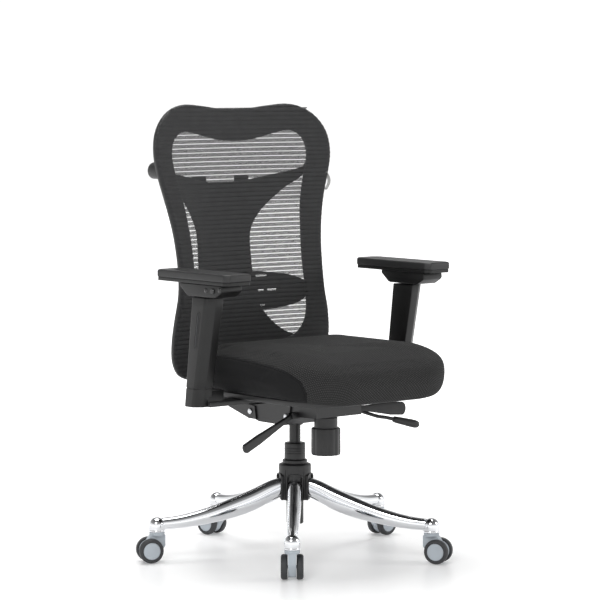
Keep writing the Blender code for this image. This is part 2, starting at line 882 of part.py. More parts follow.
# ---------------------------------------------------------------- casters
def caster_body_mesh(name):
    """The cheek between the wheels: a disc about the axle with a neck up to the stem."""
    cheek_radius = WHEEL_RADIUS - CHEEK_INSET
    neck_top = SOCKET_LOW - 0.0065
    outline = []
    for index in range(15):
        angle = math.radians(65 - 225 * index / 14)
        across = CASTER_TRAIL + cheek_radius * math.cos(angle)
        outline.append((across, WHEEL_RADIUS + cheek_radius * math.sin(angle)))
    outline.append((-NECK_REACH, WHEEL_RADIUS + 0.010))
    outline.append((-NECK_REACH, neck_top))
    outline.append((NECK_REACH, neck_top))
    return prism_mesh(name, [(z, x) for x, z in outline], -CHEEK_HALF, CHEEK_HALF, "Y")


def wheel_profile():
    """Half of the twin wheels; the height runs outward along the axle."""
    inner = CHEEK_HALF + WHEEL_SIDE_GAP
    outer = inner + WHEEL_WIDTH
    bore = AXLE_RADIUS + GAP
    axle_end = outer - 0.004
    return (
        (0.0, outer),
        (WHEEL_RADIUS * 0.74, outer),
        (WHEEL_RADIUS - 0.0012, outer - 0.0022),
        (WHEEL_RADIUS, outer - 0.0050),
        (WHEEL_RADIUS, inner + 0.0020),
        (WHEEL_RADIUS - 0.002, inner),
        (bore, inner),
        (bore, axle_end + GAP),
        (0.0, axle_end + GAP),
    )


def make_caster(index):
    stem_point = heading_vector(BASE_TURN + math.tau * index / LEG_COUNT) * BASE_RADIUS
    trail_turn = math.radians(CASTER_HEADINGS[index] - 90)
    swivel = add_empty(f"caster_{index + 1}_swivel", stem_point, trail_turn)
    name = f"caster_{index + 1}"
    fork = add_object(f"{name}_fork", caster_body_mesh(f"{name}_fork"), "grey_plastic", swivel)
    stem = turned(
        f"{name}_stem",
        (
            (0.0, STEM_BORE_TOP - 0.001),
            (STEM_RADIUS, STEM_BORE_TOP - 0.002),
            (STEM_RADIUS, SOCKET_LOW - STEM_NECK),
            (STEM_FLANGE_RADIUS, SOCKET_LOW - STEM_NECK - 0.001),
            (STEM_FLANGE_RADIUS, SOCKET_LOW - STEM_FLANGE_DROP),
            (0.0, SOCKET_LOW - STEM_FLANGE_DROP),
        ),
        None,
        segments=14,
        parent=swivel,
    )
    combine(fork, stem, "UNION")
    along = Matrix.Rotation(math.pi / 2, 4, "X")
    axle_place = Matrix.Translation((CASTER_TRAIL, 0.0, WHEEL_RADIUS)) @ along
    hole = cylinder_mesh(f"{name}_axle_hole", AXLE_RADIUS + GAP, 0.05)
    combine(fork, add_object(hole.name, hole, None, swivel, axle_place), "DIFFERENCE")
    axle = add_empty(f"{name}_axle_axis", (CASTER_TRAIL, 0.0, WHEEL_RADIUS), parent=swivel)
    length = 2 * (CHEEK_HALF + WHEEL_SIDE_GAP + WHEEL_WIDTH - 0.004)
    add_object(f"{name}_axle", cylinder_mesh(f"{name}_axle", AXLE_RADIUS, length, 14), "steel", axle, along)
    for side, turn in (("inner", -math.pi / 2), ("outer", math.pi / 2)):
        turned(f"{name}_wheel_{side}", wheel_profile(), "tread", 16, axle, Matrix.Rotation(turn, 4, "X"))


# ---------------------------------------------------------------- mechanism
def make_housing():
    """A pressed trough, open at the top, with the socket for the gas cylinder."""
    mesh = prism_mesh("mechanism_housing", HOUSING_OUTLINE, -HOUSING_HALF, HOUSING_HALF, "X")
    bm = bmesh.new()
    bm.from_mesh(mesh)
    top = [face for face in bm.faces if face.normal.z > 0.9]
    bmesh.ops.delete(bm, geom=top, context="FACES_ONLY")
    bm.to_mesh(mesh)
    bm.free()
    housing = add_object("mechanism_housing", mesh, "painted_steel")
    wall = housing.modifiers.new("wall", "SOLIDIFY")
    wall.thickness = HOUSING_WALL
    wall.offset = -1.0
    wall.use_even_offset = True
    socket = cylinder_mesh("taper_socket", CYLINDER_RADIUS + TAPER_WALL, TAPER_LENGTH, 24)
    join_mesh(housing, socket, Matrix.Translation((0.0, 0.0, TAPER_MIDDLE)))
    for name in PADDLES:
        add_lever_lugs(housing, name)
    bore = cylinder_mesh("taper_bore", CYLINDER_RADIUS + GAP, 4 * TAPER_LENGTH, 24)
    cut_mesh(housing, bore, Matrix.Translation((0.0, 0.0, TAPER_MIDDLE)))
    bolt_hole = cylinder_mesh("bolt_hole", BOLT_RADIUS + GAP, BOLT_HIGH - BOLT_LOW, 16)
    cut_mesh(housing, bolt_hole, Matrix.Translation((0.0, KNOB_Y, KNOB_BORE_TOP)))
    cut_mesh(housing, *pin_cutter("front_pin_hole", SEAT_PIVOT_Y))
    cut_mesh(housing, *pin_cutter("rear_pin_hole", BACK_PIVOT_Y))
    shaft_hole = cylinder_mesh("shaft_hole", LEVER_SHAFT + GAP, 0.05, 16)
    place = Matrix.Translation((HOUSING_HALF, HEIGHT_LEVER_Y, HEIGHT_LEVER_Z))
    cut_mesh(housing, shaft_hole, place @ Matrix.Rotation(math.pi / 2, 4, "Y"))


def paddle_frame(name):
    """The place of a paddle lever's pivot, with local X running level towards its tip."""
    pivot, tip = (Vector(point) for point in PADDLES[name][:2])
    turn = math.atan2(tip.y - pivot.y, tip.x - pivot.x)
    return Matrix.Translation(pivot) @ Matrix.Rotation(turn, 4, "Z")


def add_lever_lugs(housing, name):
    """Two lugs and a pin that carry a paddle lever beside the housing."""
    frame = paddle_frame(name)
    pivot_x = abs(frame.translation.x)
    inward = -(pivot_x - HOUSING_HALF + HOUSING_WALL * 1.5)
    for end in (-1, 1):
        face = end * (PADDLE_BOSS_LENGTH / 2 + GAP)
        outside = face + end * LUG_THICKNESS
        low = (inward, min(face, outside), -PADDLE_BOSS_RADIUS)
        high = (PADDLE_BOSS_RADIUS, max(face, outside), PADDLE_BOSS_RADIUS)
        join_mesh(housing, box_mesh(f"{name}_lug_{end}", low, high), frame)
    length = PADDLE_BOSS_LENGTH + 2 * LUG_THICKNESS
    pin = cylinder_mesh(f"{name}_pin", LUG_PIN_RADIUS, length, 12)
    join_mesh(housing, pin, frame @ Matrix.Rotation(math.pi / 2, 4, "X"))


def make_pins():
    half = HOUSING_HALF + EAR_THICKNESS + 4 * GAP
    for name, y in (("front_pivot_pin", SEAT_PIVOT_Y), ("rear_pivot_pin", BACK_PIVOT_Y)):
        profile = (
            (0.0, half + PIN_HEAD),
            (PIN_HEAD_RADIUS * 0.7, half + PIN_HEAD),
            (PIN_HEAD_RADIUS, half + PIN_HEAD * 0.4),
            (PIN_HEAD_RADIUS, half),
            (PIN_RADIUS, half),
            (PIN_RADIUS, -half),
            (PIN_HEAD_RADIUS, -half),
            (PIN_HEAD_RADIUS, -half - PIN_HEAD * 0.4),
            (PIN_HEAD_RADIUS * 0.7, -half - PIN_HEAD),
            (0.0, -half - PIN_HEAD),
        )
        place = Matrix.Translation((0.0, y, PIVOT_HEIGHT)) @ Matrix.Rotation(math.pi / 2, 4, "Y")
        turned(name, profile, "steel", 16, place=place)


def make_tension_set():
    """The recline spring with its bolt, and the faceted knob below."""
    place = Matrix.Translation((0.0, KNOB_Y, 0.0))
    coil = helix_points(TENSION_COIL_RADIUS, TENSION_COIL_LOW, TENSION_COIL_HIGH, 3, 9)
    spring = tube_mesh("tension_spring", coil, TENSION_WIRE)
    add_object("tension_spring", spring, "steel", place=place)
    turned(
        "tension_bolt",
        (
            (0.0, BOLT_HIGH),
            (BOLT_HEAD_RADIUS, BOLT_HIGH),
            (BOLT_HEAD_RADIUS, BOLT_HEAD_LOW),
            (BOLT_RADIUS, BOLT_HEAD_LOW),
            (BOLT_RADIUS, BOLT_LOW),
            (0.0, BOLT_LOW),
        ),
        "steel",
        14,
        place=place,
    )
    knob_axis = add_empty("knob_axis", (0.0, KNOB_Y, 0.0))
    bore = BOLT_RADIUS + GAP
    bore_end = BOLT_LOW - 0.002
    turned(
        "tension_knob",
        (
            (0.0, bore_end),
            (bore, bore_end),
            (bore, KNOB_BORE_TOP),
            (KNOB_NECK_RADIUS, KNOB_BORE_TOP),
            (KNOB_NECK_RADIUS, KNOB_SHOULDER),
            (KNOB_RADIUS - 0.001, KNOB_SHOULDER),
            (KNOB_RADIUS, KNOB_SHOULDER - 0.002),
            (KNOB_RADIUS, KNOB_LOW + 0.006),
            (KNOB_RADIUS - 0.005, KNOB_LOW),
            (0.0, KNOB_LOW),
        ),
        "black_plastic",
        KNOB_FLATS,
        parent=knob_axis,
    )


# ---------------------------------------------------------------- levers
def make_height_lever():
    """A bent rod that turns in the housing; its finger presses the release pin."""
    axis = add_empty("height_lever_axis", (0.0, HEIGHT_LEVER_Y, HEIGHT_LEVER_Z))
    rod = tube_mesh("height_lever", HEIGHT_LEVER_PATH, LEVER_SHAFT)
    lever = add_object("height_lever", rod, "painted_steel", axis)
    reach = -HEIGHT_LEVER_Y + 0.004
    pin_top = CYLINDER_HIGH + PIN_PROUD + GAP
    tip_rise = pin_top + LEVER_SHAFT + GAP - HEIGHT_LEVER_Z
    finger = tube_mesh("lever_finger", ((0.004, -0.001, 0.0), (0.001, reach, tip_rise)), LEVER_SHAFT * 0.9)
    combine(lever, add_object("lever_finger", finger, parent=axis), "UNION")
    rod_tip = Vector(HEIGHT_LEVER_PATH[-1])
    along = (rod_tip - Vector(HEIGHT_LEVER_PATH[-2])).normalized()
    grip_start = rod_tip - along * GRIP_OVERLAP
    facing = Vector((0.0, 0.0, 1.0)).rotation_difference(along).to_matrix().to_4x4()
    bore = LEVER_SHAFT + GAP
    rod_end = GRIP_OVERLAP + GAP
    outside = [(radius, GRIP_LENGTH - back) for back, radius in GRIP_PROFILE]
    turned(
        "height_lever_grip",
        (*outside, (bore, 0.0), (bore, rod_end), (0.0, rod_end)),
        "black_plastic",
        16,
        parent=axis,
        place=Matrix.Translation(grip_start) @ facing,
    )
    start = HOUSING_HALF + LEVER_COIL_START
    turns = helix_points(LEVER_COIL_RADIUS, start, start + LEVER_COIL_LENGTH, 3, 8)
    coil = tube_mesh("lever_spring", [(along_x, y, z) for y, z, along_x in turns], LEVER_WIRE)
    add_object("lever_spring", coil, "steel", place=axis.matrix_local)


def paddle_outline(length, root_half, tip_half):
    """A flat lever seen from its side: a round boss, a neck and a wide round tip."""
    points = []
    for degrees in range(120, 241, 30):
        angle = math.radians(degrees)
        points.append((PADDLE_BOSS_RADIUS * math.cos(angle), PADDLE_BOSS_RADIUS * math.sin(angle)))
    neck = length * 0.20
    flare = length * 0.70
    round_depth = tip_half * 0.6
    points.append((neck, -root_half))
    points.append((flare, -tip_half))
    for degrees in range(-90, 91, 30):
        angle = math.radians(degrees)
        reach = length - round_depth + round_depth * math.cos(angle)
        points.append((reach, tip_half * math.sin(angle)))
    points.append((flare, tip_half))
    points.append((neck, root_half))
    return points


def make_paddle(name):
    """A paddle lever that swings up and down on its pin."""
    pivot, tip, root_half, tip_half = PADDLES[name]
    axis = add_empty(f"{name}_axis", pivot)
    to_tip = Vector(tip) - Vector(pivot)
    level = math.hypot(to_tip.x, to_tip.y)
    swing = paddle_frame(name).to_3x3().to_4x4()
    droop = Matrix.Rotation(math.pi / 2, 4, "X") @ Matrix.Rotation(math.atan2(to_tip.z, level), 4, "Z")
    half = PADDLE_BOSS_LENGTH / 2
    outline = paddle_outline(to_tip.length, root_half, tip_half)
    flat = prism_mesh(name, outline, -half, half, "Z")
    lever = add_object(name, flat, "painted_steel", axis, swing @ droop)
    hole = cylinder_mesh(f"{name}_hole", LUG_PIN_RADIUS + GAP, 0.05, 12)
    cutter = add_object(hole.name, hole, parent=axis, place=swing @ Matrix.Rotation(math.pi / 2, 4, "X"))
    combine(lever, cutter, "DIFFERENCE")


# ---------------------------------------------------------------- seat
def make_seat():
    plate_top = PLATE_LOW + PLATE_THICKNESS
    seat_axis = add_empty("seat_axis", (0.0, SEAT_PIVOT_Y, PIVOT_HEIGHT))
    back_in = Matrix.Translation((0.0, -SEAT_PIVOT_Y, -PIVOT_HEIGHT))
    low = (-PLATE_HALF, PLATE_FRONT, PLATE_LOW)
    plate_mesh = box_mesh("seat_plate", low, (PLATE_HALF, PLATE_REAR, plate_top))
    plate = add_object("seat_plate", plate_mesh, "painted_steel", seat_axis, back_in)
    ear = (
        (SEAT_PIVOT_Y - EAR_HALF_HIGH, PLATE_LOW + 0.001),
        (SEAT_PIVOT_Y - EAR_HALF_LOW, PIVOT_HEIGHT - EAR_REACH),
        (SEAT_PIVOT_Y + EAR_HALF_LOW, PIVOT_HEIGHT - EAR_REACH),
        (SEAT_PIVOT_Y + EAR_HALF_HIGH, PLATE_LOW + 0.001),
    )
    inner = HOUSING_HALF + GAP
    for low in (inner, -inner - EAR_THICKNESS):
        join_mesh(plate, prism_mesh(f"ear_{low}", ear, low, low + EAR_THICKNESS, "X"))
    cut_mesh(plate, *pin_cutter("ear_pin_hole", SEAT_PIVOT_Y))
    pan_low = plate_top + GAP
    half_pan = SEAT_HALF_WIDTH - PAN_INSET
    front = SEAT_FRONT + PAN_INSET
    rear = SEAT_REAR - PAN_INSET / 2
    outline = rounded_outline(half_pan, front, rear, PAN_FRONT_RADIUS, PAN_REAR_RADIUS)
    pan = prism_mesh("seat_pan", outline, pan_low, pan_low + PAN_THICKNESS, "Z")
    add_object("seat_pan", pan, "black_plastic", seat_axis, back_in)
    cushion_low = pan_low + PAN_THICKNESS + GAP
    add_object("seat_cushion", cushion_mesh(cushion_low), "seat_fabric", seat_axis, back_in)


def cushion_mesh(low):
    """A crowned cushion whose front edge rolls down; its outline is a row of level rings."""
    rings = []
    for inset, height, front_drop in CUSHION_RINGS:
        ring = []
        half = SEAT_HALF_WIDTH - inset
        front = SEAT_FRONT + inset
        front_radius = max(CUSHION_FRONT_RADIUS - inset, CUSHION_LEAST_RADIUS)
        rear_radius = max(CUSHION_REAR_RADIUS - inset, CUSHION_LEAST_RADIUS)
        for x, y in rounded_outline(half, front, SEAT_REAR - inset, front_radius, rear_radius, 7):
            share = min(max((SEAT_FRONT + FRONT_ROLL - y) / FRONT_ROLL, 0.0), 1.0)
            ring.append((x, y, low + height - front_drop * share * share))
        rings.append(ring)
    return loft_mesh("seat_cushion", rings)


# ---------------------------------------------------------------- back
def back_surface(x, z):
    """Depth of the back's front surface, curved up its height and bowed across."""
    return smooth_curve(EDGE_DEPTH, z) + BACK_BOW * (1.0 - (x / BOW_HALF_WIDTH) ** 2)


def full_outline(half):
    """Mirror a half outline into a closed one, without repeating the middle points."""
    path = smooth_path(half, FRAME_STATIONS)
    return path + [(-x, z) for x, z in reversed(path[1:-1])]


def spine_surface(x, z):
    """Depth of the spine's front: it springs back from the frame to its middle."""
    edge = back_surface(0.220, z) + FRAME_DEPTH + SPINE_CLEARANCE
    return edge + (smooth_curve(SPINE_DEPTH, z) - edge) * (1.0 - (x / SPINE_REACH) ** 2)


def make_frame():
    rings = []
    stations = zip(full_outline(OUTER_OUTLINE), full_outline(INNER_OUTLINE))
    for (outer_x, outer_z), (inner_x, inner_z) in stations:
        outer = back_surface(outer_x, outer_z)
        inner = back_surface(inner_x, inner_z)
        near_x = inner_x + (outer_x - inner_x) * FRAME_LIP
        near_z = inner_z + (outer_z - inner_z) * FRAME_LIP
        rings.append(
            (
                (near_x, back_surface(near_x, near_z), near_z),
                (outer_x, outer + FRAME_EDGE, outer_z),
                (outer_x * FRAME_TAPER, outer + FRAME_DEPTH, outer_z),
                (inner_x, inner + FRAME_DEPTH, inner_z),
                (inner_x, inner, inner_z),
            )
        )
    mesh = loft_mesh("back_frame", rings, closed_path=True)
    add_object("back_frame", mesh, "black_plastic", BACK_AXIS, BACK_PLACE)


def make_mesh_panel():
    """The stretched mesh: a thin sheet in front of the whole frame."""
    bm = bmesh.new()
    outline = full_outline(OUTER_OUTLINE)
    lift = MESH_GAP + MESH_THICKNESS / 2
    centre = bm.verts.new((0.0, back_surface(0.0, MESH_MIDDLE) - lift, MESH_MIDDLE))
    rows = []
    for share in MESH_SHARES:
        row = []
        for x, z in outline:
            ring_x = x * share
            ring_z = MESH_MIDDLE + (z - MESH_MIDDLE) * share
            row.append(bm.verts.new((ring_x, back_surface(ring_x, ring_z) - lift, ring_z)))
        rows.append(row)
    count = len(outline)
    for index in range(count):
        following = (index + 1) % count
        bm.faces.new((centre, rows[0][index], rows[0][following]))
        for near, far in zip(rows, rows[1:]):
            bm.faces.new((near[index], far[index], far[following], near[following]))
    mesh = finish_mesh(bm, "back_mesh", True)
    sheet = add_object("back_mesh", mesh, "mesh_fabric", BACK_AXIS, BACK_PLACE)
    thick = sheet.modifiers.new("thickness", "SOLIDIFY")
    thick.thickness = MESH_THICKNESS
    thick.offset = 0.0


def sheet_mesh(name, rows):
    """An open surface through rows of points."""
    bm = bmesh.new()
    made = [[bm.verts.new(point) for point in row] for row in rows]
    for near, far in zip(made, made[1:]):
        for index in range(len(near) - 1):
            bm.faces.new((near[index], near[index + 1], far[index + 1], far[index]))
    return finish_mesh(bm, name, True)


def solid_sheet(name, rows, thickness, finish, parent, place):
    """A sheet thickened towards +Y."""
    sheet = add_object(name, sheet_mesh(name, rows), finish, parent, place)
    facing = sum(face.normal.y * face.area for face in sheet.data.polygons)
    thick = sheet.modifiers.new("thickness", "SOLIDIFY")
    thick.thickness = thickness
    thick.offset = 1.0 if facing > 0.0 else -1.0
    return sheet


def make_spine():
    rows = []
    for half, edge_z, middle_z in SPINE_ROWS:
        row = []
        for column in range(SPINE_COLUMNS + 1):
            share = 2.0 * column / SPINE_COLUMNS - 1.0
            x = half * share
            z = middle_z + (edge_z - middle_z) * share * share
            row.append((x, spine_surface(x, z), z))
        rows.append(row)
    spine = solid_sheet("back_spine", rows, SPINE_THICKNESS, "black_plastic", BACK_AXIS, BACK_PLACE)
    for side in SIDES.values():
        for x, z, radius, length in SPINE_BOSSES:
            add_boss(spine, side * x, z, radius, length)


def add_boss(spine, x, z, radius, length):
    """A round boss along Y that meets the frame's rear face."""
    nearest = abs(x) - radius
    deepest = max(back_surface(nearest, z - radius), back_surface(nearest, z + radius))
    front = deepest + FRAME_DEPTH + 3 * GAP
    boss = cylinder_mesh(f"boss_{x}_{z}", radius, length, 18)
    place = Matrix.Translation((x, front + length / 2, z)) @ Matrix.Rotation(math.pi / 2, 4, "X")
    cutter = add_object(boss.name, boss, parent=BACK_AXIS, place=BACK_PLACE @ place)
    combine(spine, cutter, "UNION")


def make_lumbar():
    """A butterfly plate that slides up and down between the mesh and the spine."""
    axis = add_empty("lumbar_axis", (0.0, 0.0, 0.0), parent=BACK_AXIS)
    rows = []
    for level in range(LUMBAR_LEVELS + 1):
        row = []
        for column in range(LUMBAR_COLUMNS + 1):
            share = 2.0 * column / LUMBAR_COLUMNS - 1.0
            square = share * share
            top = LUMBAR_TOP - 0.026 * square - 0.012 * square ** 6
            bottom = LUMBAR_BOTTOM + 0.018 * square + 0.016 * square ** 6
            z = bottom + (top - bottom) * level / LUMBAR_LEVELS
            row.append((LUMBAR_HALF * share, LUMBAR_DEPTH - 0.008 * square, z))
        rows.append(row)
    plate = solid_sheet("lumbar_plate", rows, LUMBAR_THICKNESS, "black_plastic", axis, BACK_PLACE)
    block_rear = spine_surface(0.030, LUMBAR_BOTTOM - 0.030) - 0.0025
    block_low = (-GUIDE_HALF, GUIDE_FRONT, GUIDE_LOW)
    block = box_mesh("lumbar_guide", block_low, (GUIDE_HALF, block_rear, GUIDE_HIGH))
    combine(plate, add_object("lumbar_guide", block, parent=axis, place=BACK_PLACE), "UNION")
    for side in SIDES.values():
        for index, (x, z, width) in enumerate(LUMBAR_SLOTS):
            low = (side * x - width / 2, LUMBAR_DEPTH - 0.05, z - SLOT_HALF_HEIGHT)
            high = (side * x + width / 2, LUMBAR_DEPTH + 0.05, z + SLOT_HALF_HEIGHT)
            cutter = box_mesh(f"slot_{side}_{index}", low, high)
            slot = add_object(cutter.name, cutter, parent=axis, place=BACK_PLACE)
            combine(plate, slot, "DIFFERENCE")


def make_hanger():
    """A coat hanger bar on two lugs that stand up behind the shield's top edge."""
    lug_x = HANGER_LUG_X
    lug_front = spine_surface(lug_x * 0.6, 0.880) + SPINE_THICKNESS + 0.0015
    lug_rear = lug_front + HANGER_LUG_THICKNESS
    root_y = lug_front + HANGER_LUG_THICKNESS / 2
    bar_y = lug_front + HANGER_REACH
    bar_end = lug_x - HANGER_BEND
    path = (
        (lug_x, root_y, HANGER_ROOT_Z),
        (lug_x, bar_y - HANGER_BEND, HANGER_BAR_Z - 0.002),
        (bar_end, bar_y, HANGER_BAR_Z),
        (-bar_end, bar_y, HANGER_BAR_Z),
        (-lug_x, bar_y - HANGER_BEND, HANGER_BAR_Z - 0.002),
        (-lug_x, root_y, HANGER_ROOT_Z),
    )
    bar = tube_mesh("coat_hanger", path, HANGER_BAR_RADIUS)
    hanger = add_object("coat_hanger", bar, "black_plastic", BACK_AXIS, BACK_PLACE)
    for side in SIDES.values():
        low = (side * lug_x - HANGER_LUG_HALF, lug_front, HANGER_LUG_LOW)
        high = (side * lug_x + HANGER_LUG_HALF, lug_rear, HANGER_LUG_HIGH)
        mesh = box_mesh(f"lug_{side}", low, high)
        lug = add_object(mesh.name, mesh, parent=BACK_AXIS, place=BACK_PLACE)
        combine(hanger, lug, "UNION")


def make_bracket():
    """The swinging arm under the seat that carries the back."""
    mesh = prism_mesh("back_bracket", BRACKET_OUTLINE, -BRACKET_HALF, BRACKET_HALF, "X")
    bracket = add_object("back_bracket", mesh, "painted_steel", BACK_AXIS, BACK_PLACE)
    inner = HOUSING_HALF + GAP
    into_cheek = inner + EAR_THICKNESS / 2
    cross_low = (-into_cheek, CROSS_FRONT, CROSS_LOW)
    pieces = [
        prism_mesh("cheek_left", CHEEK_OUTLINE, inner, inner + EAR_THICKNESS, "X"),
        prism_mesh("cheek_right", CHEEK_OUTLINE, -inner - EAR_THICKNESS, -inner, "X"),
        box_mesh("cross_block", cross_low, (into_cheek, CROSS_REAR, CROSS_HIGH)),
    ]
    for mesh in pieces:
        combine(bracket, add_object(mesh.name, mesh, parent=BACK_AXIS, place=BACK_PLACE), "UNION")
    mesh, place = pin_cutter("bracket_pin_hole", BACK_PIVOT_Y)
    combine(bracket, add_object(mesh.name, mesh, parent=BACK_AXIS, place=BACK_PLACE @ place), "DIFFERENCE")


# ---------------------------------------------------------------- arms
def arm_centre(z):
    """How far forward the leaning upright's middle is at a height."""
    return ARM_CENTRE_Y - math.tan(ARM_LEAN) * (z - ARM_LOWER_Z)


def arm_ring(side, z):
    """The upright's section: square inside, chamfered on its outer corners."""
    growth = (UPRIGHT_HALF_HIGH - UPRIGHT_HALF_LOW) / (ARM_TOP - ARM_LOWER_Z)
    half = UPRIGHT_HALF_LOW + growth * (z - ARM_LOWER_Z)
    middle = arm_centre(z)
    inner = ARM_INNER
    outer = ARM_INNER + ARM_WIDTH
    points = (
        (inner, middle + half),
        (inner, middle - half),
        (inner + 0.022, middle - half),
        (outer - 0.003, middle - half + 0.013),
        (outer, middle - half + 0.019),
        (outer, middle + half - 0.008),
        (outer - 0.008, middle + half),
    )
    return [(side * x, y, z) for x, y in points]


def leaning_box(name, side, width, depth, low, high):
    """A box on the upright's leaning line between two heights."""
    middle_z = (low + high) / 2
    length = (high - low) / math.cos(ARM_LEAN)
    mesh = box_mesh(name, (-width / 2, -depth / 2, -length / 2), (width / 2, depth / 2, length / 2))
    place = Matrix.Translation((side * (ARM_INNER + ARM_WIDTH / 2), arm_centre(middle_z), middle_z))
    mesh.transform(place @ Matrix.Rotation(ARM_LEAN, 4, "X"))
    return mesh


def make_arm(hand, side):
    seat_axis = bpy.data.objects["seat_axis"]
    back_in = Matrix.Translation((0.0, -SEAT_PIVOT_Y, -PIVOT_HEIGHT))
    rings = [arm_ring(side, z) for z in (ARM_FOOT_LOW, ARM_LOWER_Z, ARM_TOP)]
    name = f"{hand}_arm_housing"
    housing = add_object(name, loft_mesh(name, rings, smooth=False), "black_plastic", seat_axis, back_in)
    bar_high = PLATE_LOW + PLATE_THICKNESS - 0.0002
    far_end = ARM_INNER + FOOT_OVERLAP
    spans = (
        (PLATE_HALF + 0.0005, far_end, -0.058, -0.004, ARM_FOOT_LOW, bar_high),
        (SEAT_HALF_WIDTH + 0.013, far_end, -0.052, -0.008, ARM_FOOT_LOW, FOOT_HIGH),
    )
    for index, (near, far, front, rear, low, high) in enumerate(spans):
        corners = ((min(side * near, side * far), front, low), (max(side * near, side * far), rear, high))
        mesh = box_mesh(f"{name}_foot_{index}", *corners)
        combine(housing, add_object(mesh.name, mesh, parent=seat_axis, place=back_in), "UNION")
    room = 2 * POCKET_GAP
    width, depth = POST_WIDTH + room, POST_DEPTH + room
    pocket = leaning_box(f"{name}_pocket", side, width, depth, POST_LOW - 0.005, ARM_TOP + 0.05)
    combine(housing, add_object(pocket.name, pocket, parent=seat_axis, place=back_in), "DIFFERENCE")
    span = (UPRIGHT_SLOT_LOW, UPRIGHT_SLOT_HIGH)
    slot = leaning_box(f"{name}_slot", side, 0.030, UPRIGHT_SLOT_WIDTH, *span)
    slot.transform(Matrix.Translation((side * 0.018, 0.0, 0.0)))
    combine(housing, add_object(slot.name, slot, parent=seat_axis, place=back_in), "DIFFERENCE")
    make_post(hand, side, seat_axis, back_in)


def make_post(hand, side, seat_axis, back_in):
    """The sliding post with the bracket, its button, and the pad that slides on it."""
    rise_axis = add_empty(f"{hand}_post_axis", (0.0, 0.0, 0.0), parent=seat_axis)
    name = f"{hand}_arm_post"
    mesh = leaning_box(name, side, POST_WIDTH, POST_DEPTH, POST_LOW, BRACKET_LOW + 0.012)
    post = add_object(name, mesh, "painted_steel", rise_axis, back_in)
    ends = sorted((side * BRACKET_INNER, side * BRACKET_OUTER))
    bracket = prism_mesh(f"{name}_bracket", POST_BRACKET, *ends, "X")
    combine(post, add_object(bracket.name, bracket, parent=rise_axis, place=back_in), "UNION")
    facing = Matrix.Rotation(side * math.pi / 2, 4, "Y")
    bore = cylinder_mesh(f"{name}_button_bore", BUTTON_RADIUS + GAP, 2 * (BUTTON_DEPTH + GAP), 18)
    bore_place = back_in @ Matrix.Translation((side * BRACKET_OUTER, BUTTON_Y, BUTTON_Z)) @ facing
    combine(post, add_object(bore.name, bore, parent=rise_axis, place=bore_place), "DIFFERENCE")
    button_axis = add_empty(f"{hand}_button_axis", (0.0, 0.0, 0.0), parent=rise_axis)
    turned(
        f"{hand}_arm_button",
        (
            (0.0, 0.0065),
            (0.0035, 0.0060),
            (0.0060, 0.0042),
            (BUTTON_RADIUS, 0.0015),
            (BUTTON_RADIUS, -BUTTON_DEPTH + 0.004),
            (0.0, -BUTTON_DEPTH + 0.004),
        ),
        "steel",
        16,
        parent=button_axis,
        place=bore_place,
    )
    pad_axis = add_empty(f"{hand}_pad_axis", (0.0, 0.0, 0.0), parent=rise_axis)
    base_low = BRACKET_HIGH + GAP
    pad_low = PAD_TOP - PAD_THICKNESS
    for label, inset, low, high, radius, finish in (
        ("pad_base", PAD_BASE_INSET, base_low, pad_low - GAP, PAD_BASE_RADIUS, "black_plastic"),
        ("arm_pad", 0.000, pad_low, PAD_TOP, PAD_RADIUS, "soft_pad"),
    ):
        half = (PAD_OUTER - PAD_INNER) / 2 - inset
        outline = rounded_outline(half, PAD_FRONT + inset, PAD_REAR - inset, radius, radius, 4)
        middle = side * (PAD_OUTER + PAD_INNER) / 2
        outline = [(x + middle, y) for x, y in outline]
        mesh = prism_mesh(f"{hand}_{label}", outline, low, high, "Z")
        thing = add_object(mesh.name, mesh, finish, pad_axis, back_in)
        if label == "arm_pad":
            bevelled(thing, PAD_EDGE)


# ---------------------------------------------------------------- assembly
def centre_on_footprint():
    """Move the chair so that the origin is the middle of its bounding box's underside."""
    bpy.context.view_layer.update()
    graph = bpy.context.evaluated_depsgraph_get()
    low = Vector((math.inf, math.inf, math.inf))
    high = -low
    for piece in PARTS.objects:
        if piece.type != "MESH":
            continue
        shape = piece.evaluated_get(graph)
        mesh = shape.to_mesh()
        for vertex in mesh.vertices:
            point = shape.matrix_world @ vertex.co
            low = Vector(map(min, low, point))
            high = Vector(map(max, high, point))
        shape.to_mesh_clear()
    offset = Matrix.Translation((-(low.x + high.x) / 2, -(low.y + high.y) / 2, -low.z))
    for thing in bpy.data.objects:
        if thing.parent is None:
            thing.matrix_world = offset @ thing.matrix_world


make_base()
make_hub_cover()
make_column()
for number in range(LEG_COUNT):
    make_caster(number)
make_housing()
make_pins()
make_tension_set()
make_height_lever()
for lever_name in PADDLES:
    make_paddle(lever_name)
make_seat()
BACK_AXIS = add_empty("back_axis", (0.0, BACK_PIVOT_Y, PIVOT_HEIGHT))
BACK_PLACE = Matrix.Translation((0.0, -BACK_PIVOT_Y, -PIVOT_HEIGHT))
make_bracket()
make_spine()
make_frame()
make_mesh_panel()
make_lumbar()
make_hanger()
for hand_name, hand_side in SIDES.items():
    make_arm(hand_name, hand_side)
centre_on_footprint()
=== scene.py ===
"""Looks of the swivel office chair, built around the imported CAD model.

Pieces are made in the chair's own frame: metres, +Z up, the origin on the floor under the
column, facing -Y, with the sitter's right hand on -X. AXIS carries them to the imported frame.
"""
import json
import math

import bmesh
import bpy
import numpy as np
from mathutils import Matrix, Vector


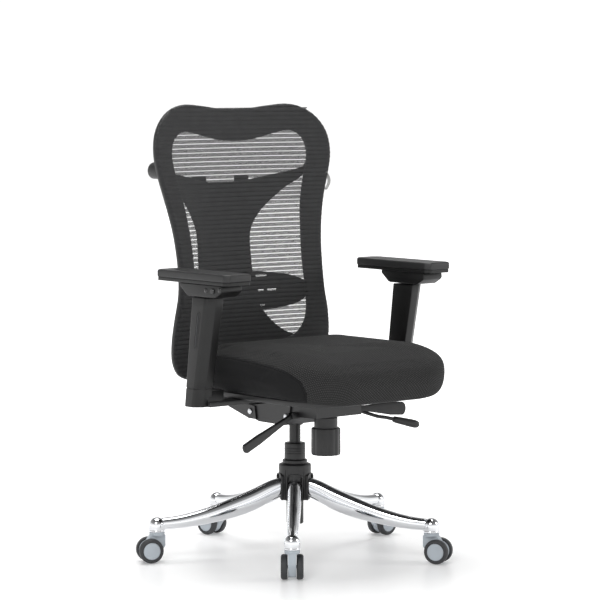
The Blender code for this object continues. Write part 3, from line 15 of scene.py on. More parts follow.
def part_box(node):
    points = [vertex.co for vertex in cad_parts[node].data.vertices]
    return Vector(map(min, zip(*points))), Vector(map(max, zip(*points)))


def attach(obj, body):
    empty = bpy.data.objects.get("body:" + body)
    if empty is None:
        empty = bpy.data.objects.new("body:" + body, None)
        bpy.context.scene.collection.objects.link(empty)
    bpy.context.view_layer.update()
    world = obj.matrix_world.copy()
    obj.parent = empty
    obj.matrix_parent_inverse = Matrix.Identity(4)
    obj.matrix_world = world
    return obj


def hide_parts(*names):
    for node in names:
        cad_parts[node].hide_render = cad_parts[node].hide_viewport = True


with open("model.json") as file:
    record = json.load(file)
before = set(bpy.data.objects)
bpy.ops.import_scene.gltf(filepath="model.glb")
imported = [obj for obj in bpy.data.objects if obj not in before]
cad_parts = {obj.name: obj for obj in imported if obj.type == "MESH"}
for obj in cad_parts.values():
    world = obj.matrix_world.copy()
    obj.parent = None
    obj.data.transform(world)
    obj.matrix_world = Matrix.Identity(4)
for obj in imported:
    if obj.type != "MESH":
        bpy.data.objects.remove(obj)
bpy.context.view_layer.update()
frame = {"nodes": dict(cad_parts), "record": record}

TUBE_LOW, TUBE_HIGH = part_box("lift_tube")
AXIS = Vector(((TUBE_LOW.x + TUBE_HIGH.x) / 2, (TUBE_LOW.y + TUBE_HIGH.y) / 2, 0.0))
HANDS = {"right": -1, "left": 1}

CAMERA_PLACE = Vector((-4.217, -5.038, 1.188))
CAMERA_COURSE = math.radians(40.04)
CAMERA_DOWN = math.radians(4.86)
CAMERA_LENS = 161.6
FLOOR_HALF = 14.0
FLOOR_DROP = 0.0004


def show(name, data):
    """Put new data into the scene as an object."""
    thing = bpy.data.objects.new(name, data)
    bpy.context.scene.collection.objects.link(thing)
    return thing


# ---------------------------------------------------------------- camera and studio
def make_camera():
    """The photograph's view: from the front, on the sitter's right, slightly above."""
    data = bpy.data.cameras.new("camera")
    data.sensor_width = 36.0
    data.lens = CAMERA_LENS
    camera = show("camera", data)
    level = math.cos(CAMERA_DOWN)
    look = (math.sin(CAMERA_COURSE) * level, math.cos(CAMERA_COURSE) * level, -math.sin(CAMERA_DOWN))
    camera.location = AXIS + CAMERA_PLACE
    camera.rotation_euler = Vector(look).to_track_quat("-Z", "Y").to_euler()
    bpy.context.scene.camera = camera


def node(tree, kind, **values):
    """Add a shader node; keys name its settings, or its inputs when they start with i_."""
    made = tree.nodes.new(kind)
    for key, value in values.items():
        if key.startswith("i_"):
            made.inputs[key[2:].replace("_", " ")].default_value = value
        else:
            setattr(made, key, value)
    return made


def ramp(tree, source, stops, mode="EASE"):
    """A colour ramp of (position, grey or colour) stops."""
    made = tree.nodes.new("ShaderNodeValToRGB")
    made.color_ramp.interpolation = mode
    elements = made.color_ramp.elements
    while len(elements) < len(stops):
        elements.new(0.5)
    for element, (position, value) in zip(elements, stops):
        element.position = position
        element.color = (*value, 1.0) if isinstance(value, tuple) else (value, value, value, 1.0)
    tree.links.new(source, made.inputs["Fac"])
    return made.outputs["Color"]


def make_world():
    """A white studio whose ceiling is darker, so that bright metal has something to show."""
    world = bpy.data.worlds.new("studio")
    bpy.context.scene.world = world
    world.use_nodes = True
    tree = world.node_tree
    tree.nodes.clear()
    place = node(tree, "ShaderNodeTexCoord")
    apart = node(tree, "ShaderNodeSeparateXYZ")
    tree.links.new(place.outputs["Generated"], apart.inputs[0])
    height = node(tree, "ShaderNodeMapRange", i_From_Min=-1.0, i_From_Max=1.0)
    tree.links.new(apart.outputs["Z"], height.inputs["Value"])
    colour = ramp(tree, height.outputs[0], ((0.0, 1.0), (0.60, 1.0), (0.72, 0.30), (1.0, 0.12)))
    light = node(tree, "ShaderNodeBackground", i_Strength=1.05)
    tree.links.new(colour, light.inputs["Color"])
    out = node(tree, "ShaderNodeOutputWorld")
    tree.links.new(light.outputs[0], out.inputs["Surface"])


def add_area(name, location, target, size, power):
    data = bpy.data.lights.new(name, "AREA")
    data.shape = "RECTANGLE"
    data.size, data.size_y = size
    data.energy = power
    lamp = show(name, data)
    lamp.location = location
    lamp.rotation_euler = (Vector(target) - Vector(location)).to_track_quat("-Z", "Y").to_euler()


def light_up_far_floor(tree, shader):
    """Let the floor glow softly under the chair and fully further off, like a lit white sweep."""
    place = node(tree, "ShaderNodeTexCoord")
    reach = node(tree, "ShaderNodeVectorMath", operation="LENGTH")
    tree.links.new(place.outputs["Object"], reach.inputs[0])
    glow = node(tree, "ShaderNodeMapRange", interpolation_type="SMOOTHSTEP", i_From_Min=0.7, i_From_Max=2.6)
    glow.inputs["To Min"].default_value = 0.16
    glow.inputs["To Max"].default_value = 0.95
    tree.links.new(reach.outputs["Value"], glow.inputs["Value"])
    tree.links.new(glow.outputs[0], shader.inputs["Emission Strength"])


def make_studio():
    bpy.context.scene.view_settings.view_transform = "Standard"
    make_world()
    add_area("key", (-3.4, -2.2, 3.2), (0, 0, 0.5), (1.8, 1.8), 80)
    add_area("fill", (3.2, -3.0, 2.4), (0, 0, 0.5), (1.6, 1.6), 45)
    add_area("top", (0.2, 0.6, 3.6), (0, 0, 0.5), (2.4, 2.4), 100)
    floor_material = bpy.data.materials.new("floor")
    floor_material.use_nodes = True
    shader = floor_material.node_tree.nodes["Principled BSDF"]
    shader.inputs["Base Color"].default_value = (0.93, 0.93, 0.93, 1)
    shader.inputs["Roughness"].default_value = 0.35
    shader.inputs["Emission Color"].default_value = (1.0, 1.0, 1.0, 1)
    light_up_far_floor(floor_material.node_tree, shader)
    bm = bmesh.new()
    bmesh.ops.create_grid(bm, x_segments=1, y_segments=1, size=FLOOR_HALF)
    mesh = bpy.data.meshes.new("floor")
    bm.to_mesh(mesh)
    bm.free()
    mesh.materials.append(floor_material)
    floor = show("floor", mesh)
    floor.location.z = -FLOOR_DROP


# ---------------------------------------------------------------- materials
class Finish:
    """A Principled material with object coordinates, built up node by node."""

    def __init__(self, name, colour, roughness, metallic=0.0, specular=0.5):
        self.material = bpy.data.materials.new(name)
        self.material.use_nodes = True
        self.tree = self.material.node_tree
        self.shader = self.tree.nodes["Principled BSDF"]
        self.shader.inputs["Base Color"].default_value = (*colour, 1.0)
        self.shader.inputs["Roughness"].default_value = roughness
        self.shader.inputs["Metallic"].default_value = metallic
        self.shader.inputs["Specular IOR Level"].default_value = specular
        self.place = node(self.tree, "ShaderNodeTexCoord").outputs["Object"]
        self.normal = None

    def link(self, source, target):
        self.tree.links.new(source, target)

    def noise(self, scale, detail=2.0):
        made = node(self.tree, "ShaderNodeTexNoise", i_Scale=scale, i_Detail=detail, i_Roughness=0.5)
        self.link(self.place, made.inputs["Vector"])
        return made.outputs["Fac"]

    def math(self, operation, first, second=None):
        made = node(self.tree, "ShaderNodeMath", operation=operation)
        for socket, value in zip(made.inputs, (first, second)):
            if value is None:
                continue
            if isinstance(value, (int, float)):
                socket.default_value = value
            else:
                self.link(value, socket)
        return made.outputs[0]

    def bump(self, height, strength, distance):
        made = node(self.tree, "ShaderNodeBump", i_Strength=strength, i_Distance=distance)
        self.link(height, made.inputs["Height"])
        if self.normal is not None:
            self.link(self.normal, made.inputs["Normal"])
        self.normal = made.outputs[0]
        self.link(self.normal, self.shader.inputs["Normal"])

    def vary_roughness(self, source, low, high):
        made = node(self.tree, "ShaderNodeMapRange", i_To_Min=low, i_To_Max=high)
        self.link(source, made.inputs["Value"])
        self.link(made.outputs[0], self.shader.inputs["Roughness"])

    def vary_colour(self, source, low, high):
        stops = ((0.3, low), (0.7, high))
        self.link(ramp(self.tree, source, stops, "LINEAR"), self.shader.inputs["Base Color"])


def plastic(name, colour, low, high, grain=1500.0, depth=0.00012, strength=0.25, specular=0.5):
    """Moulded plastic: fine spark-eroded grain, and roughness that wanders a little."""
    made = Finish(name, colour, low, specular=specular)
    made.vary_roughness(made.noise(35.0, 3.0), low, high)
    made.vary_colour(made.noise(9.0, 3.0), tuple(c * 0.85 for c in colour), tuple(c * 1.15 for c in colour))
    made.bump(made.noise(grain, 2.0), strength, depth)
    return made.material


def metal(name, colour, low, high, grain=0.0):
    made = Finish(name, colour, low, metallic=1.0)
    made.vary_roughness(made.noise(22.0, 4.0), low, high)
    if grain:
        made.bump(made.noise(grain, 2.0), 0.10, 0.00005)
    return made.material


def painted(name, colour, low, high):
    """Powder coat with a slight orange peel."""
    made = Finish(name, colour, low)
    made.vary_roughness(made.noise(28.0, 3.0), low, high)
    made.bump(made.noise(420.0, 2.0), 0.22, 0.00025)
    made.bump(made.noise(2400.0, 1.0), 0.10, 0.00005)
    return made.material


def open_weave(name, colour):
    """Dense black yarn with pinholes between its stitches, which let some light through."""
    made = Finish(name, colour, 0.62)
    made.vary_colour(made.noise(40.0, 3.0), tuple(c * 0.8 for c in colour), tuple(c * 1.2 for c in colour))
    apart = node(made.tree, "ShaderNodeSeparateXYZ")
    made.link(made.place, apart.inputs[0])
    across = made.math("SINE", made.math("MULTIPLY", apart.outputs["X"], math.tau / 0.0021))
    up = made.math("SINE", made.math("MULTIPLY", apart.outputs["Z"], math.tau / 0.0024))
    stitch = made.math("MULTIPLY", across, up)
    made.bump(stitch, 0.5, 0.0004)
    hole = made.math("GREATER_THAN", stitch, 0.60)
    see_through = node(made.tree, "ShaderNodeBsdfTransparent")
    mixed = node(made.tree, "ShaderNodeMixShader")
    made.link(hole, mixed.inputs[0])
    made.link(made.shader.outputs[0], mixed.inputs[1])
    made.link(see_through.outputs[0], mixed.inputs[2])
    out = next(n for n in made.tree.nodes if n.type == "OUTPUT_MATERIAL")
    made.link(mixed.outputs[0], out.inputs["Surface"])
    return made.material


def make_finishes():
    return {
        "chrome": metal("chrome_plate", (0.80, 0.81, 0.83), 0.035, 0.085),
        "steel": metal("bright_zinc", (0.62, 0.63, 0.65), 0.20, 0.34, 900.0),
        "painted_steel": painted("powder_coat", (0.012, 0.012, 0.0125), 0.34, 0.46),
        "black_plastic": plastic("grained_plastic", (0.011, 0.011, 0.0115), 0.36, 0.50),
        "arm_plastic": plastic("arm_moulding", (0.004, 0.004, 0.0042), 0.34, 0.46, specular=0.38),
        "gloss_plastic": plastic("gloss_moulding", (0.013, 0.013, 0.0135), 0.14, 0.22, 600.0, 0.00004, 0.1),
        "grey_plastic": plastic("grey_moulding", (0.40, 0.44, 0.48), 0.30, 0.42, 900.0, 0.00006),
        "tread": plastic("soft_tread", (0.030, 0.031, 0.034), 0.48, 0.62),
        "soft_pad": plastic("skinned_foam", (0.009, 0.009, 0.0095), 0.40, 0.52, 1100.0, 0.0002, 0.3),
        "seat_fabric": plastic("plain_knit", (0.010, 0.010, 0.011), 0.75, 0.9, 1400.0, 0.0004, 0.5),
        "mesh_fabric": open_weave("mesh_yarn", (0.014, 0.014, 0.015)),
        "tag_cloth": plastic("tag_cloth", (0.50, 0.50, 0.49), 0.7, 0.85, 1400.0, 0.0003, 0.4),
    }


make_camera()
make_studio()
FINISH = make_finishes()


# ---------------------------------------------------------------- shape helpers
REARWARD = Vector((0, 1, 0))
BEVEL_ANGLE = math.radians(30.0)


def place_at(location, along):
    """A placement whose local Z runs along a vector."""
    facing = Vector((0, 0, 1)).rotation_difference(along).to_matrix().to_4x4()
    return Matrix.Translation(location) @ facing


def ellipse_arc(degrees, radii, centre=(0.0, 0.0)):
    """Points of an ellipse at a range of degrees, counted from its first axis."""
    turns = [math.radians(a) for a in degrees]
    return [(centre[0] + radii[0] * math.cos(a), centre[1] + radii[1] * math.sin(a)) for a in turns]


def curve_at(knots, value):
    """Catmull-Rom interpolation of (position, value) knots at one position."""
    last = len(knots) - 1
    index = 0
    while index < last - 1 and value > knots[index + 1][0]:
        index += 1
    near, far = knots[index], knots[index + 1]
    before, after = knots[max(index - 1, 0)], knots[min(index + 2, last)]
    span = far[0] - near[0]
    t = min(max((value - near[0]) / span, 0.0), 1.0)
    slope_near = (far[1] - before[1]) / (far[0] - before[0]) * span
    slope_far = (after[1] - near[1]) / (after[0] - near[0]) * span
    return (
        near[1] * (2 * t**3 - 3 * t**2 + 1)
        + slope_near * (t**3 - 2 * t**2 + t)
        + far[1] * (3 * t**2 - 2 * t**3)
        + slope_far * (t**3 - t**2)
    )


def smooth_path(knots, count):
    """Points spread evenly along a Catmull-Rom curve through knots of any dimension."""
    lengths = [0.0]
    for first, second in zip(knots, knots[1:]):
        lengths.append(lengths[-1] + math.dist(first, second))
    steps = [lengths[-1] * index / (count - 1) for index in range(count)]
    columns = [[(length, knot[i]) for length, knot in zip(lengths, knots)] for i in range(len(knots[0]))]
    return [tuple(curve_at(column, step) for column in columns) for step in steps]


def soften(points, radius, steps=3, closed=False):
    """Round the corners of a 2-D polyline."""
    count = len(points)
    made = []
    for index, point in enumerate(points):
        if not closed and index in (0, count - 1):
            made.append(point)
            continue
        here = Vector(point)
        before = Vector(points[index - 1]) - here
        after = Vector(points[(index + 1) % count]) - here
        reach = min(radius, before.length * 0.45, after.length * 0.45)
        if reach < 1e-6:
            made.append(point)
            continue
        start = here + before.normalized() * reach
        end = here + after.normalized() * reach
        for step in range(steps + 1):
            t = step / steps
            made.append(tuple(start * (1 - t) ** 2 + here * 2 * t * (1 - t) + end * t**2))
    return made


class Shape:
    """One visible piece, gathered from several shells with a finish each."""

    def __init__(self):
        self.bm = bmesh.new()
        self.finishes = []

    def add(self, bm, finish, place=None, bevel=0.0, segments=3):
        if finish not in self.finishes:
            self.finishes.append(finish)
        bmesh.ops.recalc_face_normals(bm, faces=bm.faces)
        if bevel:
            paired = [e for e in bm.edges if len(e.link_faces) == 2]
            sharp = [e for e in paired if e.calc_face_angle(0.0) > BEVEL_ANGLE]
            style = {"segments": segments, "profile": 0.5, "affect": "EDGES", "clamp_overlap": True}
            bmesh.ops.bevel(bm, geom=sharp, offset=bevel, **style)
        for face in bm.faces:
            face.material_index = self.finishes.index(finish)
            face.smooth = True
        if place is not None:
            bm.transform(place)
        mesh = bpy.data.meshes.new("shell")
        bm.to_mesh(mesh)
        bm.free()
        self.bm.from_mesh(mesh)
        bpy.data.meshes.remove(mesh)
        return self

    def rows(self, rows, finish, ring=False, loop=False, caps=False, place=None):
        """Skin rows of points: ring closes each row, loop joins the last row to the first."""
        bm = bmesh.new()
        made = []
        for row in rows:
            if len(row) == 1:
                made.append([bm.verts.new(row[0])] * len(max(rows, key=len)))
            else:
                made.append([bm.verts.new(point) for point in row])
        count = len(made[0])
        pairs = list(zip(made, made[1:])) + ([(made[-1], made[0])] if loop else [])
        for near, far in pairs:
            for index in range(count if ring else count - 1):
                following = (index + 1) % count
                corners = []
                for vertex in (near[index], near[following], far[following], far[index]):
                    if vertex not in corners:
                        corners.append(vertex)
                if len(corners) > 2:
                    bm.faces.new(corners)
        if caps:
            bm.faces.new(made[0])
            bm.faces.new(made[-1])
        return self.add(bm, finish, place)

    def lathe(self, profile, finish, place=None, segments=48, corner=0.0, steps=3):
        """Turn (radius, height) points about local Z."""
        if corner:
            profile = soften(profile, corner, steps)
        rows = []
        for radius, height in profile:
            if radius < 1e-7:
                rows.append([(0.0, 0.0, height)])
                continue
            turns = [math.tau * index / segments for index in range(segments)]
            rows.append([(radius * math.cos(a), radius * math.sin(a), height) for a in turns])
        return self.rows(rows, finish, ring=True, place=place)

    def box(self, low, high, finish, place=None, bevel=0.0, segments=3):
        bm = bmesh.new()
        bmesh.ops.create_cube(bm, size=1.0)
        low, high = Vector(low), Vector(high)
        bmesh.ops.scale(bm, vec=high - low, verts=bm.verts)
        bmesh.ops.translate(bm, vec=(low + high) / 2, verts=bm.verts)
        return self.add(bm, finish, place, bevel, segments)

    def prism(self, outline, low, high, axis, finish, place=None, bevel=0.0, segments=3):
        """Extrude a flat outline: (y, z) along X, (z, x) along Y or (x, y) along Z."""
        first = {"X": 2, "Y": 1, "Z": 0}[axis]
        bm = bmesh.new()
        corners = [[((u, v, w) * 2)[first : first + 3] for u, v in outline] for w in (low, high)]
        near, far = ([bm.verts.new(corner) for corner in row] for row in corners)
        bm.faces.new(near)
        bm.faces.new(far)
        for index in range(len(outline)):
            following = (index + 1) % len(outline)
            bm.faces.new((near[index], near[following], far[following], far[index]))
        return self.add(bm, finish, place, bevel, segments)

    def tube(self, path, radius, finish, sides=14, loop=False, place=None):
        """A round bar along a path; radius is a number or a function of the share of the way."""
        points = [Vector(point) for point in path]
        count = len(points)
        rows = []
        side = None
        for index, point in enumerate(points):
            before = points[index - 1] if loop or index else points[0]
            after = points[(index + 1) % count] if loop or index < count - 1 else points[-1]
            along = (after - before).normalized()
            if side is None:
                side = along.orthogonal().normalized()
            side = (side - along * side.dot(along)).normalized()
            other = along.cross(side)
            size = radius(index / (count - 1)) if callable(radius) else radius
            turns = [math.tau * step / sides for step in range(sides)]
            rows.append([point + (side * math.cos(a) + other * math.sin(a)) * size for a in turns])
        return self.rows(rows, finish, ring=True, loop=loop, caps=not loop, place=place)

    def piece(self, name, body, slot=None, replaces=(), sharp=38.0):
        """Turn what was gathered into a piece that rides on a body."""
        mesh = bpy.data.meshes.new(name)
        self.bm.to_mesh(mesh)
        self.bm.free()
        mesh.transform(Matrix.Translation(AXIS))
        for finish in self.finishes:
            mesh.materials.append(FINISH[finish])
        mesh.set_sharp_from_angle(angle=math.radians(sharp))
        thing = show(name, mesh)
        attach(thing, body)
        if replaces:
            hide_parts(*replaces)
        return thing


def heading(degrees):
    angle = math.radians(degrees)
    return Vector((math.sin(angle), -math.cos(angle), 0.0))


# ---------------------------------------------------------------- base, column and casters
LEG_HEADINGS = [-41.0 + 72.0 * index for index in range(5)]
CASTER_HEADINGS = (140, 29, 93, 189, -114)
BASE_RADIUS = 0.350
# share of the reach, height of the section's centre, width, depth
LEG_SECTIONS = (
    (0.000, 0.1745, 0.034, 0.043),
    (0.130, 0.1615, 0.034, 0.052),
    (0.280, 0.1405, 0.034, 0.054),
    (0.430, 0.1245, 0.033, 0.050),
    (0.590, 0.1105, 0.031, 0.042),
    (0.760, 0.0995, 0.030, 0.035),
    (0.880, 0.0945, 0.029, 0.031),
    (1.000, 0.0925, 0.028, 0.028),
)
LEG_START = 0.018
LEG_END = 0.338
WHEEL_RADIUS = 0.030
CASTER_TRAIL = 0.018
CHEEK_HALF = 0.0095


def make_base():
    base = Shape()
    for degrees in LEG_HEADINGS:
        outward = heading(degrees)
        sideways = Vector((-outward.y, outward.x, 0.0))
        rows = []
        for step in range(41):
            share = step / 40
            height, width, depth = (
                curve_at([(row[0], row[column]) for row in LEG_SECTIONS], share) for column in (1, 2, 3)
            )
            centre = outward * (LEG_START + (LEG_END - LEG_START) * share) + Vector((0, 0, height))
            row = []
            for index in range(32):
                turn = math.tau * index / 32
                across = math.copysign(abs(math.cos(turn)) ** 0.85, math.cos(turn)) * width / 2
                up = math.copysign(abs(math.sin(turn)) ** 0.85, math.sin(turn)) * depth / 2
                row.append(centre + sideways * across + Vector((0, 0, up)))
            rows.append(row)
        base.rows(rows, "chrome", ring=True, caps=True)
        dome = ellipse_arc(range(90, -1, -9), (0.0195, 0.0185), (0.0, 0.0905))
        skirt = [(0.0195, 0.0800), (0.0188, 0.0785), (0.0195, 0.0775)]
        skirt += [(0.0195, 0.0750), (0.0185, 0.0745), (0.0, 0.0745)]
        base.lathe(dome + skirt, "chrome", Matrix.Translation(outward * BASE_RADIUS), 40)
    base.piece("star_base", "base", "chrome", ["base_star"], sharp=50)


def make_hub():
    hub = Shape()
    profile = (
        (0.0205, 0.2368), (0.0290, 0.2368), (0.0305, 0.2355), (0.0305, 0.2285),
        (0.0345, 0.2270), (0.0395, 0.2250), (0.0400, 0.2180), (0.0392, 0.1900),
        (0.0375, 0.1600), (0.0366, 0.1385), (0.0330, 0.1380), (0.0330, 0.1600),
    )
    hub.lathe(profile, "black_plastic", None, 72, 0.0012)
    for degrees in LEG_HEADINGS:
        turn = Matrix.Rotation(math.radians(degrees), 4, "Z")
        arch = [(-0.0205, 0.139), (-0.0205, 0.196)]
        arch += ellipse_arc(range(165, 14, -15), (0.0205, 0.0085), (0.0, 0.196))
        arch += [(0.0205, 0.196), (0.0205, 0.139), (0.0178, 0.139), (0.0178, 0.195)]
        arch += ellipse_arc(range(15, 166, 15), (0.0178, 0.006), (0.0, 0.195))
        arch += [(-0.0178, 0.195), (-0.0178, 0.139)]
        rim = [(z, x) for x, z in arch]
        hub.prism(rim, -0.0412, -0.0340, "Y", "black_plastic", turn, bevel=0.0006, segments=1)
        between = Matrix.Rotation(math.radians(degrees + 36.0), 4, "Z")
        low, high = (-0.0012, -0.0406, 0.142), (0.0012, -0.0370, 0.214)
        hub.box(low, high, "black_plastic", between, bevel=0.0005, segments=1)
    hub.piece("hub_shroud", "base", "black_plastic", ["hub_cover"])


def make_column():
    tube = Shape()
    profile = ((0.0170, 0.2615), (0.0205, 0.2615), (0.0210, 0.2605))
    profile += ((0.0210, 0.0800), (0.0190, 0.0780), (0.0, 0.0780))
    tube.lathe(profile, "painted_steel", None, 48)
    tube.piece("column_tube", "base", "painted_steel", ["lift_tube"])
    cover = Shape()
    profile = [(0.0150, 0.2783), (0.0244, 0.2783), (0.0257, 0.2770), (0.0257, 0.2700)]
    for height in (0.2660, 0.2600, 0.2540):
        profile += [(0.0257, height + 0.0008), (0.0250, height), (0.0257, height - 0.0008)]
    profile += [(0.0257, 0.2400), (0.0250, 0.2370), (0.0215, 0.2368)]
    cover.lathe(profile, "black_plastic", None, 64, 0.0004, 2)
    cover.piece("column_sleeve", "base", "black_plastic", ["lift_cover"])
    cylinder = Shape()
    profile = ((0.0, 0.3550), (0.0120, 0.3550), (0.0125, 0.3540), (0.0140, 0.3350))
    profile += ((0.0140, 0.1360), (0.0130, 0.1350), (0.0, 0.1350))
    cylinder.lathe(profile, "painted_steel", None, 48)
    cylinder.piece("gas_spring", "lift", "painted_steel", ["gas_cylinder"])


def make_caster(index):
    name = f"caster_{index + 1}"
    stem = heading(LEG_HEADINGS[index]) * BASE_RADIUS
    trail = CASTER_HEADINGS[index]
    swivel = Matrix.Translation(stem) @ Matrix.Rotation(math.radians(trail - 90.0), 4, "Z")
    axle = swivel @ Matrix.Translation((CASTER_TRAIL, 0.0, WHEEL_RADIUS))
    body = Shape()
    outline = [(-0.0190, 0.0668), (-0.0190, 0.0400)]
    outline += ellipse_arc(range(200, 431, 10), (0.0250, 0.0250), (CASTER_TRAIL, WHEEL_RADIUS))
    outline += [(0.0195, 0.0640), (0.0170, 0.0668)]
    cheek = [(z, x) for x, z in outline]
    body.prism(cheek, -CHEEK_HALF, CHEEK_HALF, "Y", "grey_plastic", swivel, bevel=0.0012)
    shoulder = ((0.0, 0.0738), (0.0178, 0.0738), (0.0186, 0.0725))
    shoulder += ((0.0184, 0.0665), (0.0160, 0.0640), (0.0, 0.0640))
    body.lathe(shoulder, "grey_plastic", swivel, 40, 0.0010)
    body.lathe(((0.0, 0.0760), (0.0085, 0.0760), (0.0085, 0.0730), (0.0, 0.0730)), "steel", swivel, 24)
    body.piece(f"{name}_body", name, "grey_plastic", [f"{name}_fork"])
    wheels = Shape()
    tread = (
        (0.0212, 0.0262), (0.0222, 0.0268), (0.0250, 0.0268), (0.0278, 0.0256),
        (0.0294, 0.0232), (0.0300, 0.0200), (0.0300, 0.0150), (0.0296, 0.0122),
        (0.0280, 0.0106), (0.0200, 0.0106), (0.0200, 0.0140),
    )
    cap = ((0.0, 0.0270), (0.0120, 0.0269), (0.0190, 0.0264))
    cap += ((0.0207, 0.0256), (0.0211, 0.0244), (0.0211, 0.0200))
    ring = ((0.0211, 0.0246), (0.0216, 0.0242), (0.0214, 0.0220))
    inside = ((0.0, 0.0104), (0.0120, 0.0104), (0.0190, 0.0112), (0.0206, 0.0126), (0.0206, 0.0150))
    for side in (-1, 1):
        place = axle @ place_at((0, 0, 0), Vector((0, side, 0)))
        wheels.lathe(tread, "tread", place, 64, 0.0006)
        wheels.lathe(ring, "tread", place, 64)
        wheels.lathe(cap, "grey_plastic", place, 64, 0.0008)
        wheels.lathe(inside, "grey_plastic", place, 48)
    rod = ((0.0, 0.0105), (0.0040, 0.0105), (0.0040, -0.0105), (0.0, -0.0105))
    wheels.lathe(rod, "steel", axle @ place_at((0, 0, 0), REARWARD), 20)
    nodes = [f"{name}_axle", f"{name}_wheel_inner", f"{name}_wheel_outer"]
    wheels.piece(f"{name}_twin_wheels", f"{name}_wheels", "tread", nodes)


make_base()
make_hub()
make_column()
for caster_number in range(5):
    make_caster(caster_number)


# ---------------------------------------------------------------- back
# depth at a height, as (z, y): the back's front surface at its side edges, and the spine's middle
EDGE_DEPTH = (
    (0.420, 0.166), (0.530, 0.152), (0.650, 0.145), (0.770, 0.159),
    (0.890, 0.180), (1.010, 0.193), (1.110, 0.200),
)
SPINE_DEPTH = ((0.455, 0.266), (0.550, 0.276), (0.650, 0.281), (0.790, 0.292), (0.860, 0.289), (0.950, 0.266))
# half outlines of the frame from the bottom's middle up one side to the top's middle, (x, z)
OUTER_OUTLINE = (
    (0.000, 0.420), (0.150, 0.424), (0.215, 0.440), (0.243, 0.475),
    (0.250, 0.520), (0.244, 0.580), (0.232, 0.640), (0.229, 0.710),
    (0.235, 0.790), (0.252, 0.870), (0.270, 0.930), (0.280, 0.980),
    (0.274, 1.030), (0.250, 1.068), (0.213, 1.094), (0.165, 1.106),
    (0.110, 1.1025), (0.055, 1.0965), (0.000, 1.0940),
)
INNER_OUTLINE = (
    (0.000, 0.510), (0.070, 0.510), (0.125, 0.513), (0.160, 0.527),
    (0.180, 0.555), (0.185, 0.590), (0.179, 0.650), (0.175, 0.710),
    (0.178, 0.780), (0.186, 0.850), (0.200, 0.910), (0.213, 0.955),
    (0.216, 0.990), (0.203, 1.022), (0.168, 1.039), (0.110, 1.029),
    (0.055, 1.017), (0.000, 1.013),
)
# rows of the spine, bottom to top: half width, height at its edge, height in its middle
SPINE_ROWS = (
    (0.215, 0.465, 0.455),
    (0.214, 0.500, 0.490),
    (0.190, 0.514, 0.520),
    (0.157, 0.531, 0.548),
    (0.128, 0.558, 0.575),
    (0.106, 0.590, 0.602),
    (0.090, 0.640, 0.645),
    (0.085, 0.715, 0.715),
    (0.087, 0.785, 0.780),
    (0.110, 0.830, 0.818),
    (0.139, 0.862, 0.845),
    (0.172, 0.893, 0.868),
    (0.212, 0.921, 0.888),
    (0.230, 0.950, 0.908),
)
FRAME_DEPTH = 0.014
RIB_PITCH = 0.0111
SLOT_HEIGHT = 0.0017
MESH_LIFT = 0.0026
EDGE_ROLL = 0.0065
THREAD_PITCH = 0.0022
THREAD_HALF = 0.0002


def back_surface(x, z):
    """Depth of the back's front surface, curved up its height and bowed across."""
    return curve_at(EDGE_DEPTH, z) + 0.036 * (1.0 - (x / 0.280) ** 2)


def full_outline(half, count=72):
    path = smooth_path(half, count)
    return path + [(-x, z) for x, z in reversed(path[1:-1])]


def make_back_frame():
    """The moulded ring: a flat front that the mesh lies on, with rolled edges."""
    section = soften([(0.0, 0.0), (1.0, 0.0), (1.0, 1.0), (0.0, 1.0)], 0.30, 4, closed=True)
    rows = []
    edges = zip(full_outline(OUTER_OUTLINE), full_outline(INNER_OUTLINE))
    for (outer_x, outer_z), (inner_x, inner_z) in edges:
        width = math.dist((outer_x, outer_z), (inner_x, inner_z))
        row = []
        for across, deep in section:
            near = 0.006 / width
            if across < 0.5:
                share = across / 0.30 * near if across <= 0.30 else across
            else:
                share = 1.0 - (1.0 - across) / 0.30 * near if across >= 0.70 else across
            x = inner_x + (outer_x - inner_x) * (0.004 + 0.990 * share)
            z = inner_z + (outer_z - inner_z) * (0.004 + 0.990 * share)
            crown = 0.0012 * (1.0 - (2.0 * share - 1.0) ** 2)
            y = back_surface(x, z) + 0.0012 + crown * (deep > 0.5) + (FRAME_DEPTH - 0.002) * deep
            row.append((x, y, z))
        rows.append(row)
    shape = Shape().rows(rows, "black_plastic", ring=True, loop=True)
    shape.piece("back_ring", "back", "black_plastic", ["back_frame"])


def spans_at(outline, z):
    """The intervals of x that lie inside a closed outline at a height."""
    hits = []
    for (x0, z0), (x1, z1) in zip(outline, outline[1:] + outline[:1]):
        if (z0 <= z) != (z1 <= z):
            hits.append(x0 + (x1 - x0) * (z - z0) / (z1 - z0))
    hits.sort()
    return [(a, b) for a, b in zip(hits[::2], hits[1::2]) if b - a > 0.004]


class Panel:
    """The stretched mesh's surface, which rolls back over the frame's outer edge."""

    def __init__(self):
        self.outline = full_outline(OUTER_OUTLINE, 160)
        self.start = np.array(self.outline)
        self.step = np.roll(self.start, -1, axis=0) - self.start
        self.square = (self.step**2).sum(1)

    def inset(self, x, z):
        """How far inside the outline a point is."""
        offset = np.array((x, z)) - self.start
        share = np.clip((offset * self.step).sum(1) / self.square, 0.0, 1.0)
        return float(np.sqrt(((offset - self.step * share[:, None]) ** 2).sum(1)).min())

    def point(self, x, z, proud=0.0):
        roll = max(EDGE_ROLL - self.inset(x, z), 0.0)
        back = EDGE_ROLL - math.sqrt(max(EDGE_ROLL**2 - roll**2, 0.0))
        return (x, back_surface(x, z) - MESH_LIFT - proud + back, z)


